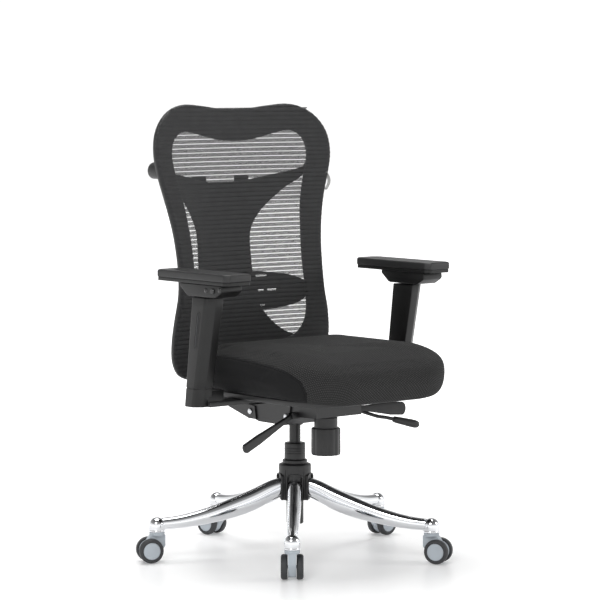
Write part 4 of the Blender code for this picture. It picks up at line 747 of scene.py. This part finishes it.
def make_back_mesh():
    """Horizontal ribs of dense weave, with a ladder of fine threads in each gap."""
    panel = Panel()
    ribs = Shape()
    ladder = bmesh.new()
    low, high = OUTER_OUTLINE[0][1], max(z for _, z in OUTER_OUTLINE)
    columns = 84
    for index in range(int((high - low) / RIB_PITCH) + 1):
        bottom = low + 0.0012 + index * RIB_PITCH
        top = min(bottom + RIB_PITCH - SLOT_HEIGHT, high - 0.0008)
        if top <= bottom:
            continue
        middle = (bottom + top) / 2
        for left, right in spans_at(panel.outline, middle):
            count = max(int(columns * (right - left) / 0.5), 4)
            rows = []
            for level in range(5):
                z = bottom + (top - bottom) * level / 4
                fit = [s for s in spans_at(panel.outline, z) if s[0] < (left + right) / 2 < s[1]]
                a, b = fit[0] if fit else (left, right)
                bulge = 0.0009 * (1.0 - (level / 2 - 1.0) ** 2)
                rows.append([panel.point(a + (b - a) * c / count, z, bulge) for c in range(count + 1)])
            ribs.rows(rows, "mesh_fabric")
        gap_middle = top + SLOT_HEIGHT / 2
        for left, right in spans_at(panel.outline, gap_middle):
            threads = int((right - left) / THREAD_PITCH)
            for number in range(1, threads):
                x = left + (right - left) * number / threads
                corners = [(x - THREAD_HALF, top), (x + THREAD_HALF, top)]
                corners += [(x + THREAD_HALF, top + SLOT_HEIGHT), (x - THREAD_HALF, top + SLOT_HEIGHT)]
                ladder.faces.new([ladder.verts.new(panel.point(*corner)) for corner in corners])
    ribs.add(ladder, "mesh_fabric")
    cloth = ribs.piece("mesh_ribs", "back", "mesh_fabric", ["back_mesh"], sharp=80)


def spine_surface(x, z):
    """Depth of the spine's front: it springs back from the frame to its middle."""
    edge = back_surface(0.220, z) + FRAME_DEPTH + 0.0035
    return edge + (curve_at(SPINE_DEPTH, z) - edge) * (1.0 - (x / 0.235) ** 2)


def make_spine():
    """The springy shield behind the mesh, with its keel and the bosses that meet the ring."""
    spine = Shape()
    levels = smooth_path(SPINE_ROWS, 90)
    thick = 0.0050
    rows = []
    for half, edge_z, middle_z in levels:
        shares = [math.sin(math.pi / 2 * (column / 16)) for column in range(-16, 17)]
        front, rear = [], []
        for share in shares:
            x = half * share
            z = middle_z + (edge_z - middle_z) * share * share
            y = spine_surface(x, z)
            thin = thick * min(1.0, 0.35 + 6.0 * (1.0 - abs(share)))
            keel = 0.0045 * math.exp(-((x / 0.030) ** 4))
            front.append((x, y + (thick - thin) / 2, z))
            rear.append((x, y + (thick + thin) / 2 + keel, z))
        rows.append(front + rear[::-1])
    spine.rows(rows, "black_plastic", ring=True, caps=True)
    for side in HANDS.values():
        upper = (0.228, 0.944, 0.0205, 0.048) if side < 0 else (0.232, 0.944, 0.0140, 0.012)
        for x, z, radius, length in (upper, (0.196, 0.483, 0.0140, 0.020)):
            ends = [back_surface(x - radius, z + up) for up in (-radius, radius)]
            front = max(ends) + FRAME_DEPTH + 0.0009
            groove = length - 0.0020
            profile = [(0.0, length), (radius * 0.45, length), (radius * 0.50, groove)]
            profile += [(radius * 0.62, groove), (radius * 0.68, length), (radius - 0.0015, length)]
            profile += [(radius, length - 0.0015), (radius, 0.0), (0.0, 0.0)]
            spine.lathe(profile, "black_plastic", place_at((side * x, front, z), REARWARD), 48, 0.0006, 2)
    spine.piece("spine_shield", "back", "black_plastic", ["back_spine"], sharp=45)


# slots on one side of the lumbar plate: place of the middle in x and z, width
LUMBAR_SLOTS = ((0.056, 0.676, 0.036), (0.055, 0.638, 0.020), (0.090, 0.638, 0.030), (0.058, 0.601, 0.022))


def make_lumbar():
    """A butterfly plate with slots, between the mesh and the spine."""
    plate = Shape()
    columns, levels = 64, 14
    top_of = lambda s: 0.688 - 0.026 * s**2 - 0.012 * abs(s) ** 12
    bottom_of = lambda s: 0.586 + 0.018 * s**2 + 0.016 * abs(s) ** 12
    front, rear = [], []
    for level in range(levels + 1):
        near, far = [], []
        for column in range(columns + 1):
            share = 2.0 * column / columns - 1.0
            z = bottom_of(share) + (top_of(share) - bottom_of(share)) * level / levels
            y = 0.1985 - 0.008 * share**2
            rim = 0.0007 if level in (0, levels) or column in (0, columns) else 0.0
            near.append((0.200 * share, y + rim, z))
            far.append((0.200 * share, y + 0.003 - rim, z))
        front.append(near)
        rear.append(far)
    plate.rows([a + b[::-1] for a, b in zip(front, rear)], "black_plastic", ring=True, caps=True)
    plate.box((-0.026, 0.2010, 0.612), (0.026, 0.2740, 0.660), "black_plastic", bevel=0.002)
    thing = plate.piece("lumbar_shield", "lumbar", "black_plastic", ["lumbar_plate"], sharp=45)
    cuts = bmesh.new()
    for side in HANDS.values():
        for x, z, width in LUMBAR_SLOTS:
            size = Matrix.Diagonal((width, 0.06, 0.0045, 1.0))
            bmesh.ops.create_cube(cuts, size=1.0, matrix=Matrix.Translation((side * x, 0.185, z)) @ size)
    cut_away(thing, cuts)


def cut_away(thing, bm):
    """Cut closed shells out of a piece and keep the result as its mesh."""
    mesh = bpy.data.meshes.new("cutter")
    bm.to_mesh(mesh)
    bm.free()
    mesh.transform(Matrix.Translation(AXIS))
    cutter = show("cutter", mesh)
    step = thing.modifiers.new("cut", "BOOLEAN")
    step.operation = "DIFFERENCE"
    step.solver = "EXACT"
    step.use_self = True
    step.object = cutter
    bake(thing)
    bpy.data.objects.remove(cutter)


def bake(thing):
    """Replace a piece's mesh by what its modifiers make of it."""
    graph = bpy.context.evaluated_depsgraph_get()
    graph.update()
    made = bpy.data.meshes.new_from_object(thing.evaluated_get(graph), depsgraph=graph)
    thing.modifiers.clear()
    thing.data = made


def make_hanger():
    """The coat hanger: a bar on two lugs behind the shield's top edge."""
    hanger = Shape()
    front = spine_surface(0.041, 0.880) + 0.0065
    bar = front + 0.055
    knots = (
        (0.068, front + 0.004, 0.885),
        (0.068, bar - 0.020, 0.892),
        (0.062, bar - 0.006, 0.8945),
        (0.048, bar, 0.895),
        (0.000, bar, 0.895),
        (-0.048, bar, 0.895),
        (-0.062, bar - 0.006, 0.8945),
        (-0.068, bar - 0.020, 0.892),
        (-0.068, front + 0.004, 0.885),
    )
    hanger.tube(smooth_path(knots, 70), 0.0070, "black_plastic", 20)
    for side in HANDS.values():
        low, high = (side * 0.068 - 0.0215, front, 0.868), (side * 0.068 + 0.0215, front + 0.009, 0.925)
        hanger.box(low, high, "black_plastic", bevel=0.003)
        screw = ((0.0, 0.0025), (0.0035, 0.0022), (0.0048, 0.0008), (0.0048, 0.0), (0.0, 0.0))
        hanger.lathe(screw, "steel", place_at((side * 0.068, front + 0.0088, 0.912), REARWARD), 24)
    hanger.piece("hanger_bar", "back", "black_plastic", ["coat_hanger"])


TAG_LOW, TAG_HEIGHT = 0.886, 0.046


def make_tag():
    """A plain folded fabric loop sewn into the ring's edge on the sitter's left."""
    tag = Shape()
    for offset in (0.0, 0.0016):
        rows = []
        for level in range(9):
            z = TAG_LOW + TAG_HEIGHT * level / 8
            x = 0.262 + 0.012 * math.sin(math.pi * level / 8) + offset
            rows.append([(x, y, z) for y in (0.1870, 0.1920, 0.1970)])
        tag.rows(rows, "tag_cloth")
    thing = tag.piece("edge_tag", "back")


def make_back():
    make_back_frame()
    make_back_mesh()
    make_spine()
    make_lumbar()
    make_hanger()
    make_tag()


make_back()


# ---------------------------------------------------------------- seat
SEAT_HALF = 0.250
SEAT_FRONT, SEAT_REAR = -0.360, 0.122
SEAT_CORNERS = {"front": 0.132, "rear": 0.060}
SEAT_LOW = 0.4196
PAD_SWELL_LIMIT = 0.005
# section of the cushion from its underside to the crown: inset, height, drop at the front
SEAT_SECTION = (
    (0.0480, 0.0000, 0.0000),
    (0.0340, 0.0004, 0.0060),
    (0.0220, 0.0050, 0.0150),
    (0.0120, 0.0160, 0.0140),
    (0.0065, 0.0330, 0.0090),
    (0.0050, 0.0530, 0.0060),
    (0.0075, 0.0720, 0.0100),
    (0.0150, 0.0860, 0.0140),
    (0.0290, 0.0965, 0.0190),
    (0.0500, 0.1030, 0.0210),
    (0.0800, 0.1070, 0.0170),
    (0.1200, 0.1095, 0.0100),
)
SEAT_RINGS = 40
CROWN_RINGS = 12
FRONT_ROLL = 0.130
DISH = 0.004
# the edge of the plain side panel: arc length round from the front's middle, height
PANEL_EDGE = (
    (0.2456, -0.0060), (0.2398, 0.0254), (0.2542, 0.0544), (0.2898, 0.0714),
    (0.3548, 0.0824), (0.4318, 0.0874), (0.5028, 0.0905), (0.5738, 0.0900),
    (0.7000, 0.0890), (1.0500, 0.0890),
)


def seat_outline(inset, steps=10):
    """Points round the seat, from the front's middle and back to it."""
    front = max(SEAT_CORNERS["front"] - inset * 0.8, 0.02)
    rear = max(SEAT_CORNERS["rear"] - inset, 0.02)
    half, low, high = SEAT_HALF - inset, SEAT_FRONT + inset, SEAT_REAR - inset
    straight = {"front": 19, "side": 46, "rear": 26}
    points = [((half - front) * i / straight["front"], low) for i in range(straight["front"])]
    for i in range(steps * 2):
        turn = math.pi / 2 * i / (steps * 2)
        points.append((half - front + front * math.sin(turn), low + front - front * math.cos(turn)))
    reach = high - rear - low - front
    points += [(half, low + front + reach * i / straight["side"]) for i in range(straight["side"])]
    for i in range(steps):
        turn = math.pi / 2 * i / steps
        points.append((half - rear + rear * math.cos(turn), high - rear + rear * math.sin(turn)))
    points += [((half - rear) * (1 - i / straight["rear"]), high) for i in range(straight["rear"])]
    points.append((0.0, high))
    return points + [(-x, y) for x, y in reversed(points[1:-1])]


def front_share(y):
    return min(max((SEAT_FRONT + FRONT_ROLL - y) / FRONT_ROLL, 0.0), 1.0)


def seat_rows():
    """Rings of the cushion, where each point lies on the unrolled cloth, and the widest outline."""
    section = smooth_path(SEAT_SECTION, SEAT_RINGS)
    outer = seat_outline(0.0)
    inner = seat_outline(SEAT_SECTION[-1][0])
    arcs = [0.0]
    for (inset, height, _), (next_inset, next_height, _) in zip(section, section[1:]):
        arcs.append(arcs[-1] + math.hypot(next_inset - inset, next_height - height))
    rows, cloth = [], []
    for (inset, height, drop), arc in zip(section, arcs):
        row, flat = [], []
        for (x, y), (out_x, out_y), (in_x, in_y) in zip(seat_outline(inset), outer, inner):
            share = front_share(out_y)
            row.append((x, y, SEAT_LOW + height - drop * share * share))
            away = Vector((out_x - in_x, out_y - in_y)).normalized() * (arcs[-1] - arc)
            flat.append((in_x + away.x, in_y + away.y))
        rows.append(row)
        cloth.append(flat)
    middle = Vector((0.0, (SEAT_FRONT + SEAT_REAR) / 2))
    top = rows[-1]
    for ring in range(1, CROWN_RINGS + 1):
        keep = 1.0 - ring / CROWN_RINGS
        dip = DISH * math.sin(math.pi / 2 * (1.0 - keep)) ** 2
        level = sum(point[2] for point in top) / len(top) - dip
        row = []
        for x, y, z in top:
            height = (z - dip) * keep + level * (1 - keep)
            row.append((middle.x + (x - middle.x) * keep, middle.y + (y - middle.y) * keep, height))
        rows.append(row if keep else [row[0]])
        cloth.append([(x, y) for x, y, _ in rows[-1]])
    return rows, cloth, outer


def panel_distance(arc, height):
    """Signed distance to the side panel's edge; below zero is on the panel."""
    best = math.inf
    sign = 1.0
    for (s0, h0), (s1, h1) in zip(PANEL_EDGE, PANEL_EDGE[1:]):
        along = Vector((s1 - s0, h1 - h0))
        here = Vector((arc - s0, height - h0))
        t = min(max(here.dot(along) / along.length_squared, 0.0), 1.0)
        away = here - along * t
        if away.length < best:
            best = away.length
            sign = 1.0 if along.x * here.y - along.y * here.x > 0 else -1.0
    return best * sign


def seat_knit():
    """Spacer knit: honeycomb cells on top and front with painted shade darkening their pits, a plain panel at
    the sides, and its seams.
    """
    made = Finish("seat_knit", (0.020, 0.020, 0.021), 0.78, specular=0.13)
    cloth = node(made.tree, "ShaderNodeAttribute", attribute_name="cloth")
    edge = node(made.tree, "ShaderNodeAttribute", attribute_name="panel")
    apart = node(made.tree, "ShaderNodeSeparateXYZ")
    made.link(cloth.outputs["Vector"], apart.inputs[0])
    waves = None
    for turn in (0.0, 60.0, 120.0):
        pull = math.tau / 0.0048
        across = made.math("MULTIPLY", apart.outputs["X"], pull * math.cos(math.radians(turn)))
        along = made.math("MULTIPLY", apart.outputs["Y"], pull * math.sin(math.radians(turn)))
        wave = made.math("COSINE", made.math("ADD", across, along))
        waves = wave if waves is None else made.math("ADD", waves, wave)
    distance = edge.outputs["Fac"]
    on_top = made.math("GREATER_THAN", distance, 0.0)
    cells = made.math("MULTIPLY", made.math("MULTIPLY", waves, 0.33), on_top)
    # colour of the honeycomb: the knit's cell pattern, plus painted shade that darkens each cell's pit
    stops = ((0.0, 0.005), (0.25, 0.012), (0.8, 0.046))
    cell_pattern_and_pit_shade = ramp(made.tree, made.math("MULTIPLY_ADD", cells, 0.5), stops, "LINEAR")
    plain = node(made.tree, "ShaderNodeMix", data_type="RGBA")
    made.link(on_top, plain.inputs["Factor"])
    plain.inputs[6].default_value = (0.0095, 0.0095, 0.010, 1.0)
    made.link(cell_pattern_and_pit_shade, plain.inputs[7])
    made.link(plain.outputs[2], made.shader.inputs["Base Color"])
    made.bump(cells, 0.9, 0.0011)
    made.bump(made.noise(1500.0, 3.0), 0.35, 0.0004)
    groove = None
    for middle, width in ((0.0, 0.0012), (-0.0052, 0.0009)):
        off = made.math("DIVIDE", made.math("SUBTRACT", distance, middle), width)
        dip = made.math("EXPONENT", made.math("MULTIPLY", made.math("MULTIPLY", off, off), -1.0))
        groove = dip if groove is None else made.math("ADD", groove, dip)
    made.bump(made.math("MULTIPLY", groove, -1.0), 1.0, 0.0016)
    return made.material


def swell(thing, held, limit):
    """Inflate a closed cushion with a short cloth simulation, and keep its result."""
    rest = [vertex.co.copy() for vertex in thing.data.vertices]
    group = thing.vertex_groups.new(name="held")
    for index, weight in held.items():
        group.add([index], weight, "REPLACE")
    cloth = thing.modifiers.new("cloth", "CLOTH")
    cloth.settings.vertex_group_mass = "held"
    cloth.settings.quality = 5
    cloth.settings.mass = 0.3
    cloth.settings.tension_stiffness = 30
    cloth.settings.compression_stiffness = 30
    cloth.settings.bending_stiffness = 4
    cloth.settings.use_pressure = True
    cloth.settings.uniform_pressure_force = 4.0
    cloth.settings.effector_weights.gravity = 0.0
    cloth.collision_settings.use_collision = False
    cloth.point_cache.frame_start = 1
    cloth.point_cache.frame_end = 20
    for number in range(1, 21):
        bpy.context.scene.frame_set(number)
    graph = bpy.context.evaluated_depsgraph_get()
    settled = [vertex.co.copy() for vertex in thing.evaluated_get(graph).data.vertices]
    thing.modifiers.remove(cloth)
    thing.vertex_groups.remove(group)
    bpy.context.scene.frame_set(1)
    for vertex, start, end in zip(thing.data.vertices, rest, settled):
        move = end - start
        if move.length > limit:
            move *= limit / move.length
        vertex.co = start + move


def make_seat():
    rows, cloth, outer = seat_rows()
    arcs = [0.0]
    for near, far in zip(outer, outer[1:]):
        arcs.append(arcs[-1] + math.dist(near, far))
    round_trip = arcs[-1] + math.dist(outer[-1], outer[0])
    mesh = bpy.data.meshes.new("seat_pad")
    points = [point for row in rows for point in row]
    count = len(outer)
    faces = []
    for ring in range(len(rows) - 1):
        for index in range(count):
            following = (index + 1) % count
            near, far = ring * count, (ring + 1) * count
            if len(rows[ring + 1]) == 1:
                faces.append((near + index, near + following, far))
            else:
                faces.append((near + index, near + following, far + following, far + index))
    faces.append(tuple(reversed(range(count))))
    mesh.from_pydata([(Vector(point) + AXIS)[:] for point in points], [], faces)
    mesh.attributes.new("cloth", "FLOAT_VECTOR", "POINT")
    mesh.attributes.new("panel", "FLOAT", "POINT")
    flat, panel = mesh.attributes["cloth"], mesh.attributes["panel"]
    held = {}
    for number, ((x, y), point) in enumerate(zip([p for row in cloth for p in row], points)):
        flat.data[number].vector = (x, y, 0.0)
        ring, index = divmod(number, count)
        arc = min(arcs[index], round_trip - arcs[index]) if index < len(arcs) else 0.0
        drop = SEAT_SECTION[6][2] * front_share(outer[index][1]) ** 2 if ring < SEAT_RINGS else 0.0
        beyond = max(ring - SEAT_RINGS, 0) * 0.01
        panel.data[number].value = panel_distance(arc, point[2] - SEAT_LOW + drop + beyond)
        held[number] = 1.0 if ring < 6 else max(0.0, 0.5 - (ring - 6) / 16)
    for face in mesh.polygons:
        face.use_smooth = True
    mesh.materials.append(seat_knit())
    pad = show("seat_pad", mesh)
    swell(pad, held, PAD_SWELL_LIMIT)
    finer = pad.modifiers.new("finer", "SUBSURF")
    finer.levels = finer.render_levels = 1
    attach(pad, "seat")
    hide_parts("seat_cushion")
    pan = Shape()
    outline = [(x * 0.86, (y + 0.12) * 0.86 - 0.12) for x, y in seat_outline(0.0)]
    pan.prism(outline, 0.4064, 0.4192, "Z", "black_plastic", bevel=0.002)
    pan.piece("seat_shell", "seat", "black_plastic", ["seat_pan"])


make_seat()


# ---------------------------------------------------------------- arms
ARM_INNER, ARM_OUTER = 0.300, 0.343
ARM_LOW, ARM_SPLIT, ARM_HIGH = 0.3945, 0.4400, 0.6570
ARM_LEAN = math.radians(9.0)
SLOT_TOP, SLOT_BOTTOM, SLOT_HALF = 0.618, 0.540, 0.0055
BRACKET_INNER, BRACKET_OUTER = 0.288, 0.350
PAD_MIDDLE, PAD_HALF = 0.3165, 0.0395
PAD_FRONT, PAD_REAR = -0.181, 0.100


def arm_middle(z):
    return -0.028 - math.tan(ARM_LEAN) * (z - ARM_SPLIT)


def arm_section(side, z, inset=0.0):
    """The upright's section: flat inside, broadly chamfered outside at the front."""
    half = 0.028 + 0.0085 * (z - ARM_SPLIT) / (ARM_HIGH - ARM_SPLIT) - inset
    middle = arm_middle(z)
    inner, outer = ARM_INNER + inset, ARM_OUTER - inset
    points = (
        (inner, middle + half),
        (inner, middle - half),
        (inner + 0.022, middle - half),
        (outer - 0.003, middle - half + 0.013),
        (outer, middle - half + 0.019),
        (outer, middle + half - 0.008),
        (outer - 0.008, middle + half),
    )
    rounded = soften(points, 0.0022, 3, closed=True)
    return [(side * x, y, z) for x, y in rounded]


def on_arm(side, z, across):
    """A point on the upright's outer face, at a height and off its middle line."""
    return (side * ARM_OUTER, arm_middle(z) + across, z)


def make_upright(hand, side):
    arm = Shape()
    groove = 0.0009
    levels = [(ARM_LOW, 0.0015), (ARM_LOW + 0.0015, 0.0), (0.4380, 0.0)]
    levels += [(0.4388, groove), (0.4412, groove), (0.4420, 0.0)]
    levels += [(0.4420 + 0.0213 * step, 0.0) for step in range(1, 10)]
    levels += [(ARM_HIGH - 0.0016, 0.0), (ARM_HIGH - 0.0004, 0.0006), (ARM_HIGH, 0.0018)]
    arm.rows([arm_section(side, z, inset) for z, inset in levels], "arm_plastic", ring=True, caps=True)
    ends = sorted((side * 0.263, side * (ARM_INNER + 0.010)))
    arm.box((ends[0], -0.052, ARM_LOW), (ends[1], -0.008, 0.434), "arm_plastic", bevel=0.003)
    ends = sorted((side * 0.1105, side * (ARM_INNER + 0.010)))
    arm.box((ends[0], -0.058, ARM_LOW), (ends[1], -0.004, 0.4058), "painted_steel", bevel=0.0015)
    slot = []
    for middle, first in ((SLOT_TOP, 0), (SLOT_BOTTOM, 180)):
        end = ellipse_arc(range(first, first + 181, 15), (SLOT_HALF, SLOT_HALF), (0.0, middle))
        slot += [on_arm(side, z, across) for across, z in end]
    arm.tube(slot, 0.0009, "black_plastic", 8, loop=True)
    inner = [on_arm(side, z, 0.0) for z in (SLOT_TOP, (SLOT_TOP + SLOT_BOTTOM) / 2, SLOT_BOTTOM)]
    arm.tube(inner, 0.0016, "tread", 8)
    arm.piece(f"{hand}_upright", "seat", "black_plastic", [f"{hand}_arm_housing"])


def make_arm_post(hand, side):
    post = Shape()
    middle = (side * (ARM_INNER + ARM_OUTER) / 2, arm_middle(0.575), 0.575)
    turn = Matrix.Translation(middle) @ Matrix.Rotation(ARM_LEAN, 4, "X")
    post.box((-0.0078, -0.0198, -0.096), (0.0078, 0.0198, 0.093), "painted_steel", turn, bevel=0.0015)
    profile = ((0.006, 0.6905), (0.006, 0.6825), (-0.022, 0.6605))
    profile += ((-0.128, 0.6605), (-0.152, 0.6745), (-0.152, 0.6905))
    ends = sorted((side * BRACKET_INNER, side * BRACKET_OUTER))
    post.prism(soften(profile, 0.006, 4, closed=True), *ends, "X", "arm_plastic", bevel=0.0025)
    outward = Vector((side, 0, 0))
    dome = ellipse_arc(range(0, 91, 15), (0.0062, 0.0026))
    for y, z in ((-0.145, 0.6800), (-0.094, 0.6765)):
        place = place_at((side * (BRACKET_OUTER - 0.0002), y, z), outward)
        post.lathe([(0.0062, -0.0010), *dome], "gloss_plastic", place, 28)
    post.piece(f"{hand}_post", f"{hand}_arm_post", "painted_steel", [f"{hand}_arm_post"])
    button = Shape()
    place = place_at((side * BRACKET_OUTER, -0.120, 0.6765), outward)
    face = ((0.0, 0.0040), (0.0030, 0.0042), (0.0055, 0.0040))
    face += ((0.0068, 0.0026), (0.0070, -0.0060), (0.0, -0.0060))
    button.lathe(face, "gloss_plastic", place, 36)
    button.piece(f"{hand}_button", f"{hand}_arm_button", "steel", [f"{hand}_arm_button"])


def pad_outline(inset, radius):
    """The arm pad from above: chamfered front corners and a rounded rear."""
    half = PAD_HALF - inset
    front, rear = PAD_FRONT + inset, PAD_REAR - inset
    cut = 0.014
    corners = [(-half + cut * 0.6, front), (half - cut * 0.6, front), (half, front + cut), (half, rear - cut)]
    corners += [(half - cut, rear), (-half + cut, rear), (-half, rear - cut), (-half, front + cut)]
    return soften(corners, radius, 4, closed=True)


def make_pad(hand, side):
    base = Shape()
    outline = [(x + side * PAD_MIDDLE, y) for x, y in pad_outline(0.0012, 0.003)]
    base.prism(outline, 0.6909, 0.6990, "Z", "arm_plastic", bevel=0.0008)
    base.piece(f"{hand}_pad_plate", f"{hand}_arm_pad", "black_plastic", [f"{hand}_pad_base"])
    pad = Shape()
    rows = []
    section = ((0.0018, 0.6992), (0.0003, 0.7002), (0.0, 0.7025), (0.0, 0.7130), (0.0008, 0.7156))
    section += ((0.0026, 0.7168), (0.0060, 0.7171), (0.0160, 0.7164), (0.0300, 0.7160))
    for inset, z in section:
        rows.append([(x + side * PAD_MIDDLE, y, z) for x, y in pad_outline(inset, 0.003)])
    pad.rows(rows, "soft_pad", ring=True, caps=True)
    thing = pad.piece(f"{hand}_pad", f"{hand}_arm_pad", "soft_pad", [f"{hand}_arm_pad"], sharp=50)


for hand_name, hand_side in HANDS.items():
    make_upright(hand_name, hand_side)
    make_arm_post(hand_name, hand_side)
    make_pad(hand_name, hand_side)


# ---------------------------------------------------------------- mechanism
LEVER_PIVOT = Vector((0.0, -0.090, 0.372))
LEVER_PATH = (
    (0.000, 0.000, 0.000),
    (0.092, 0.000, 0.000),
    (0.104, -0.006, -0.008),
    (0.150, -0.044, -0.028),
    (0.170, -0.056, -0.032),
    (0.229, -0.078, -0.048),
)
PADDLES = {
    "tilt_lever": ((-0.086, -0.092, 0.360), (-0.252, -0.113, 0.294), 0.006, 0.011),
    "slide_lever": ((0.086, -0.126, 0.368), (0.206, -0.176, 0.363), 0.007, 0.016),
}


KNOB_Y = -0.117
PIVOTS = {"front": -0.058, "rear": 0.080}
PIVOT_HEIGHT = 0.354
PIVOT_HALF = 0.0775
# CAD nodes that stay in view, and how widely their edges are broken
EDGE_WIDTHS = {"mechanism_housing": 0.0007, "seat_plate": 0.0006, "back_bracket": 0.0012}


def make_knob():
    """The tension knob: a fluted grip under a plain neck."""
    knob = Shape()
    rows = []
    profile = ((0.0335, 0.2610), (0.0350, 0.2630), (0.0355, 0.2680))
    profile += ((0.0355, 0.3230), (0.0348, 0.3260), (0.0320, 0.3270))
    for radius, z in profile:
        row = []
        for step in range(96):
            turn = math.tau * step / 96
            flute = 0.0013 * max(math.cos(12 * turn), -0.25)
            reach = radius - 0.0003 - flute
            row.append((reach * math.cos(turn), KNOB_Y + reach * math.sin(turn), z))
        rows.append(row)
    knob.rows(rows, "black_plastic", ring=True, caps=True)
    place = Matrix.Translation((0.0, KNOB_Y, 0.0))
    neck = ((0.0, 0.3525), (0.0275, 0.3525), (0.0285, 0.3515), (0.0285, 0.3268), (0.0, 0.3268))
    knob.lathe(neck, "black_plastic", place, 64)
    knob.lathe(((0.0, 0.2606), (0.0240, 0.2606), (0.0250, 0.2612), (0.0, 0.2616)), "tread", place, 48)
    knob.piece("knob_body", "knob", "black_plastic", ["tension_knob"], sharp=42)


def make_levers():
    rod = Shape()
    path = [Vector(point) + LEVER_PIVOT for point in smooth_path(LEVER_PATH, 48)]
    rod.tube(path, 0.0044, "painted_steel", 18)
    rod.tube((LEVER_PIVOT, LEVER_PIVOT + Vector((0.001, 0.094, -0.0003))), 0.0039, "painted_steel", 14)
    rod.piece("lift_rod", "height_lever", "painted_steel", ["height_lever"])
    tip = LEVER_PIVOT + Vector(LEVER_PATH[-1])
    along = (Vector(LEVER_PATH[-1]) - Vector(LEVER_PATH[-2])).normalized()
    grip = Shape()
    profile = ((0.0, 0.0700), (0.0040, 0.0694), (0.0078, 0.0665), (0.0097, 0.0600), (0.0100, 0.0520))
    profile += ((0.0095, 0.0350), (0.0084, 0.0120), (0.0078, 0.0030), (0.0070, 0.0), (0.0050, 0.0))
    grip.lathe(profile, "black_plastic", place_at(tip - along * 0.045, along), 40)
    grip.piece("lift_grip", "height_lever", "black_plastic", ["height_lever_grip"])
    for name, (pivot, end, root_half, tip_half) in PADDLES.items():
        pivot = Vector(pivot)
        reach = Vector(end) - pivot
        length, level = reach.length, math.hypot(reach.x, reach.y)
        place = Matrix.Translation(pivot) @ Matrix.Rotation(math.atan2(reach.y, reach.x), 4, "Z")
        place = place @ Matrix.Rotation(math.pi / 2, 4, "X")
        place = place @ Matrix.Rotation(math.atan2(reach.z, level), 4, "Z")
        outline = ellipse_arc(range(120, 241, 15), (0.007, 0.007))
        outline += [(length * 0.20, -root_half), (length * 0.70, -tip_half)]
        blunt = tip_half * 0.6
        outline += ellipse_arc(range(-90, 91, 10), (blunt, tip_half), (length - blunt, 0.0))
        outline += [(length * 0.70, tip_half), (length * 0.20, root_half)]
        paddle = Shape()
        paddle.prism(outline, -0.0048, 0.0048, "Z", "black_plastic", place, bevel=0.0014)
        paddle.piece(f"{name}_paddle", name, "painted_steel", [name])


def refine(name, width):
    """Break the edges of a CAD node that stays in view, without moving its corners."""
    thing = frame["nodes"][name]
    flat = thing.modifiers.new("flat", "DECIMATE")
    flat.decimate_type = "DISSOLVE"
    flat.angle_limit = math.radians(2.0)
    edge = thing.modifiers.new("edge", "BEVEL")
    edge.width = width
    edge.segments = 2
    edge.limit_method = "ANGLE"
    edge.angle_limit = math.radians(40.0)


def make_pivot_heads():
    """Bright domed heads on the two pivot pins."""
    for name, y in PIVOTS.items():
        pin = Shape()
        for side in (-1, 1):
            place = place_at((side * PIVOT_HALF, y, PIVOT_HEIGHT), Vector((side, 0, 0)))
            dome = ellipse_arc(range(0, 91, 10), (0.0075, 0.0026), (0.0, 0.0004))
            pin.lathe([(0.0050, 0.0), (0.0073, 0.0), *dome], "steel", place, 36)
        ends = [(side * (PIVOT_HALF + 0.0001), y, PIVOT_HEIGHT) for side in (-1, 1)]
        pin.tube(ends, 0.0049, "steel", 20)
        pin.piece(f"{name}_pin", "mechanism", "steel", [f"{name}_pivot_pin"])


make_knob()
make_levers()
make_pivot_heads()
for part_name, edge_width in EDGE_WIDTHS.items():
    refine(part_name, edge_width)


def dress_cad_nodes():
    """Every CAD node that still shows gets its slot's procedural material."""
    slots = {row["node"]: row["material_slot"] for row in frame["record"]["subparts"]}
    for name, thing in frame["nodes"].items():
        thing.data.materials.clear()
        thing.data.materials.append(FINISH[slots[name]])


dress_cad_nodes()
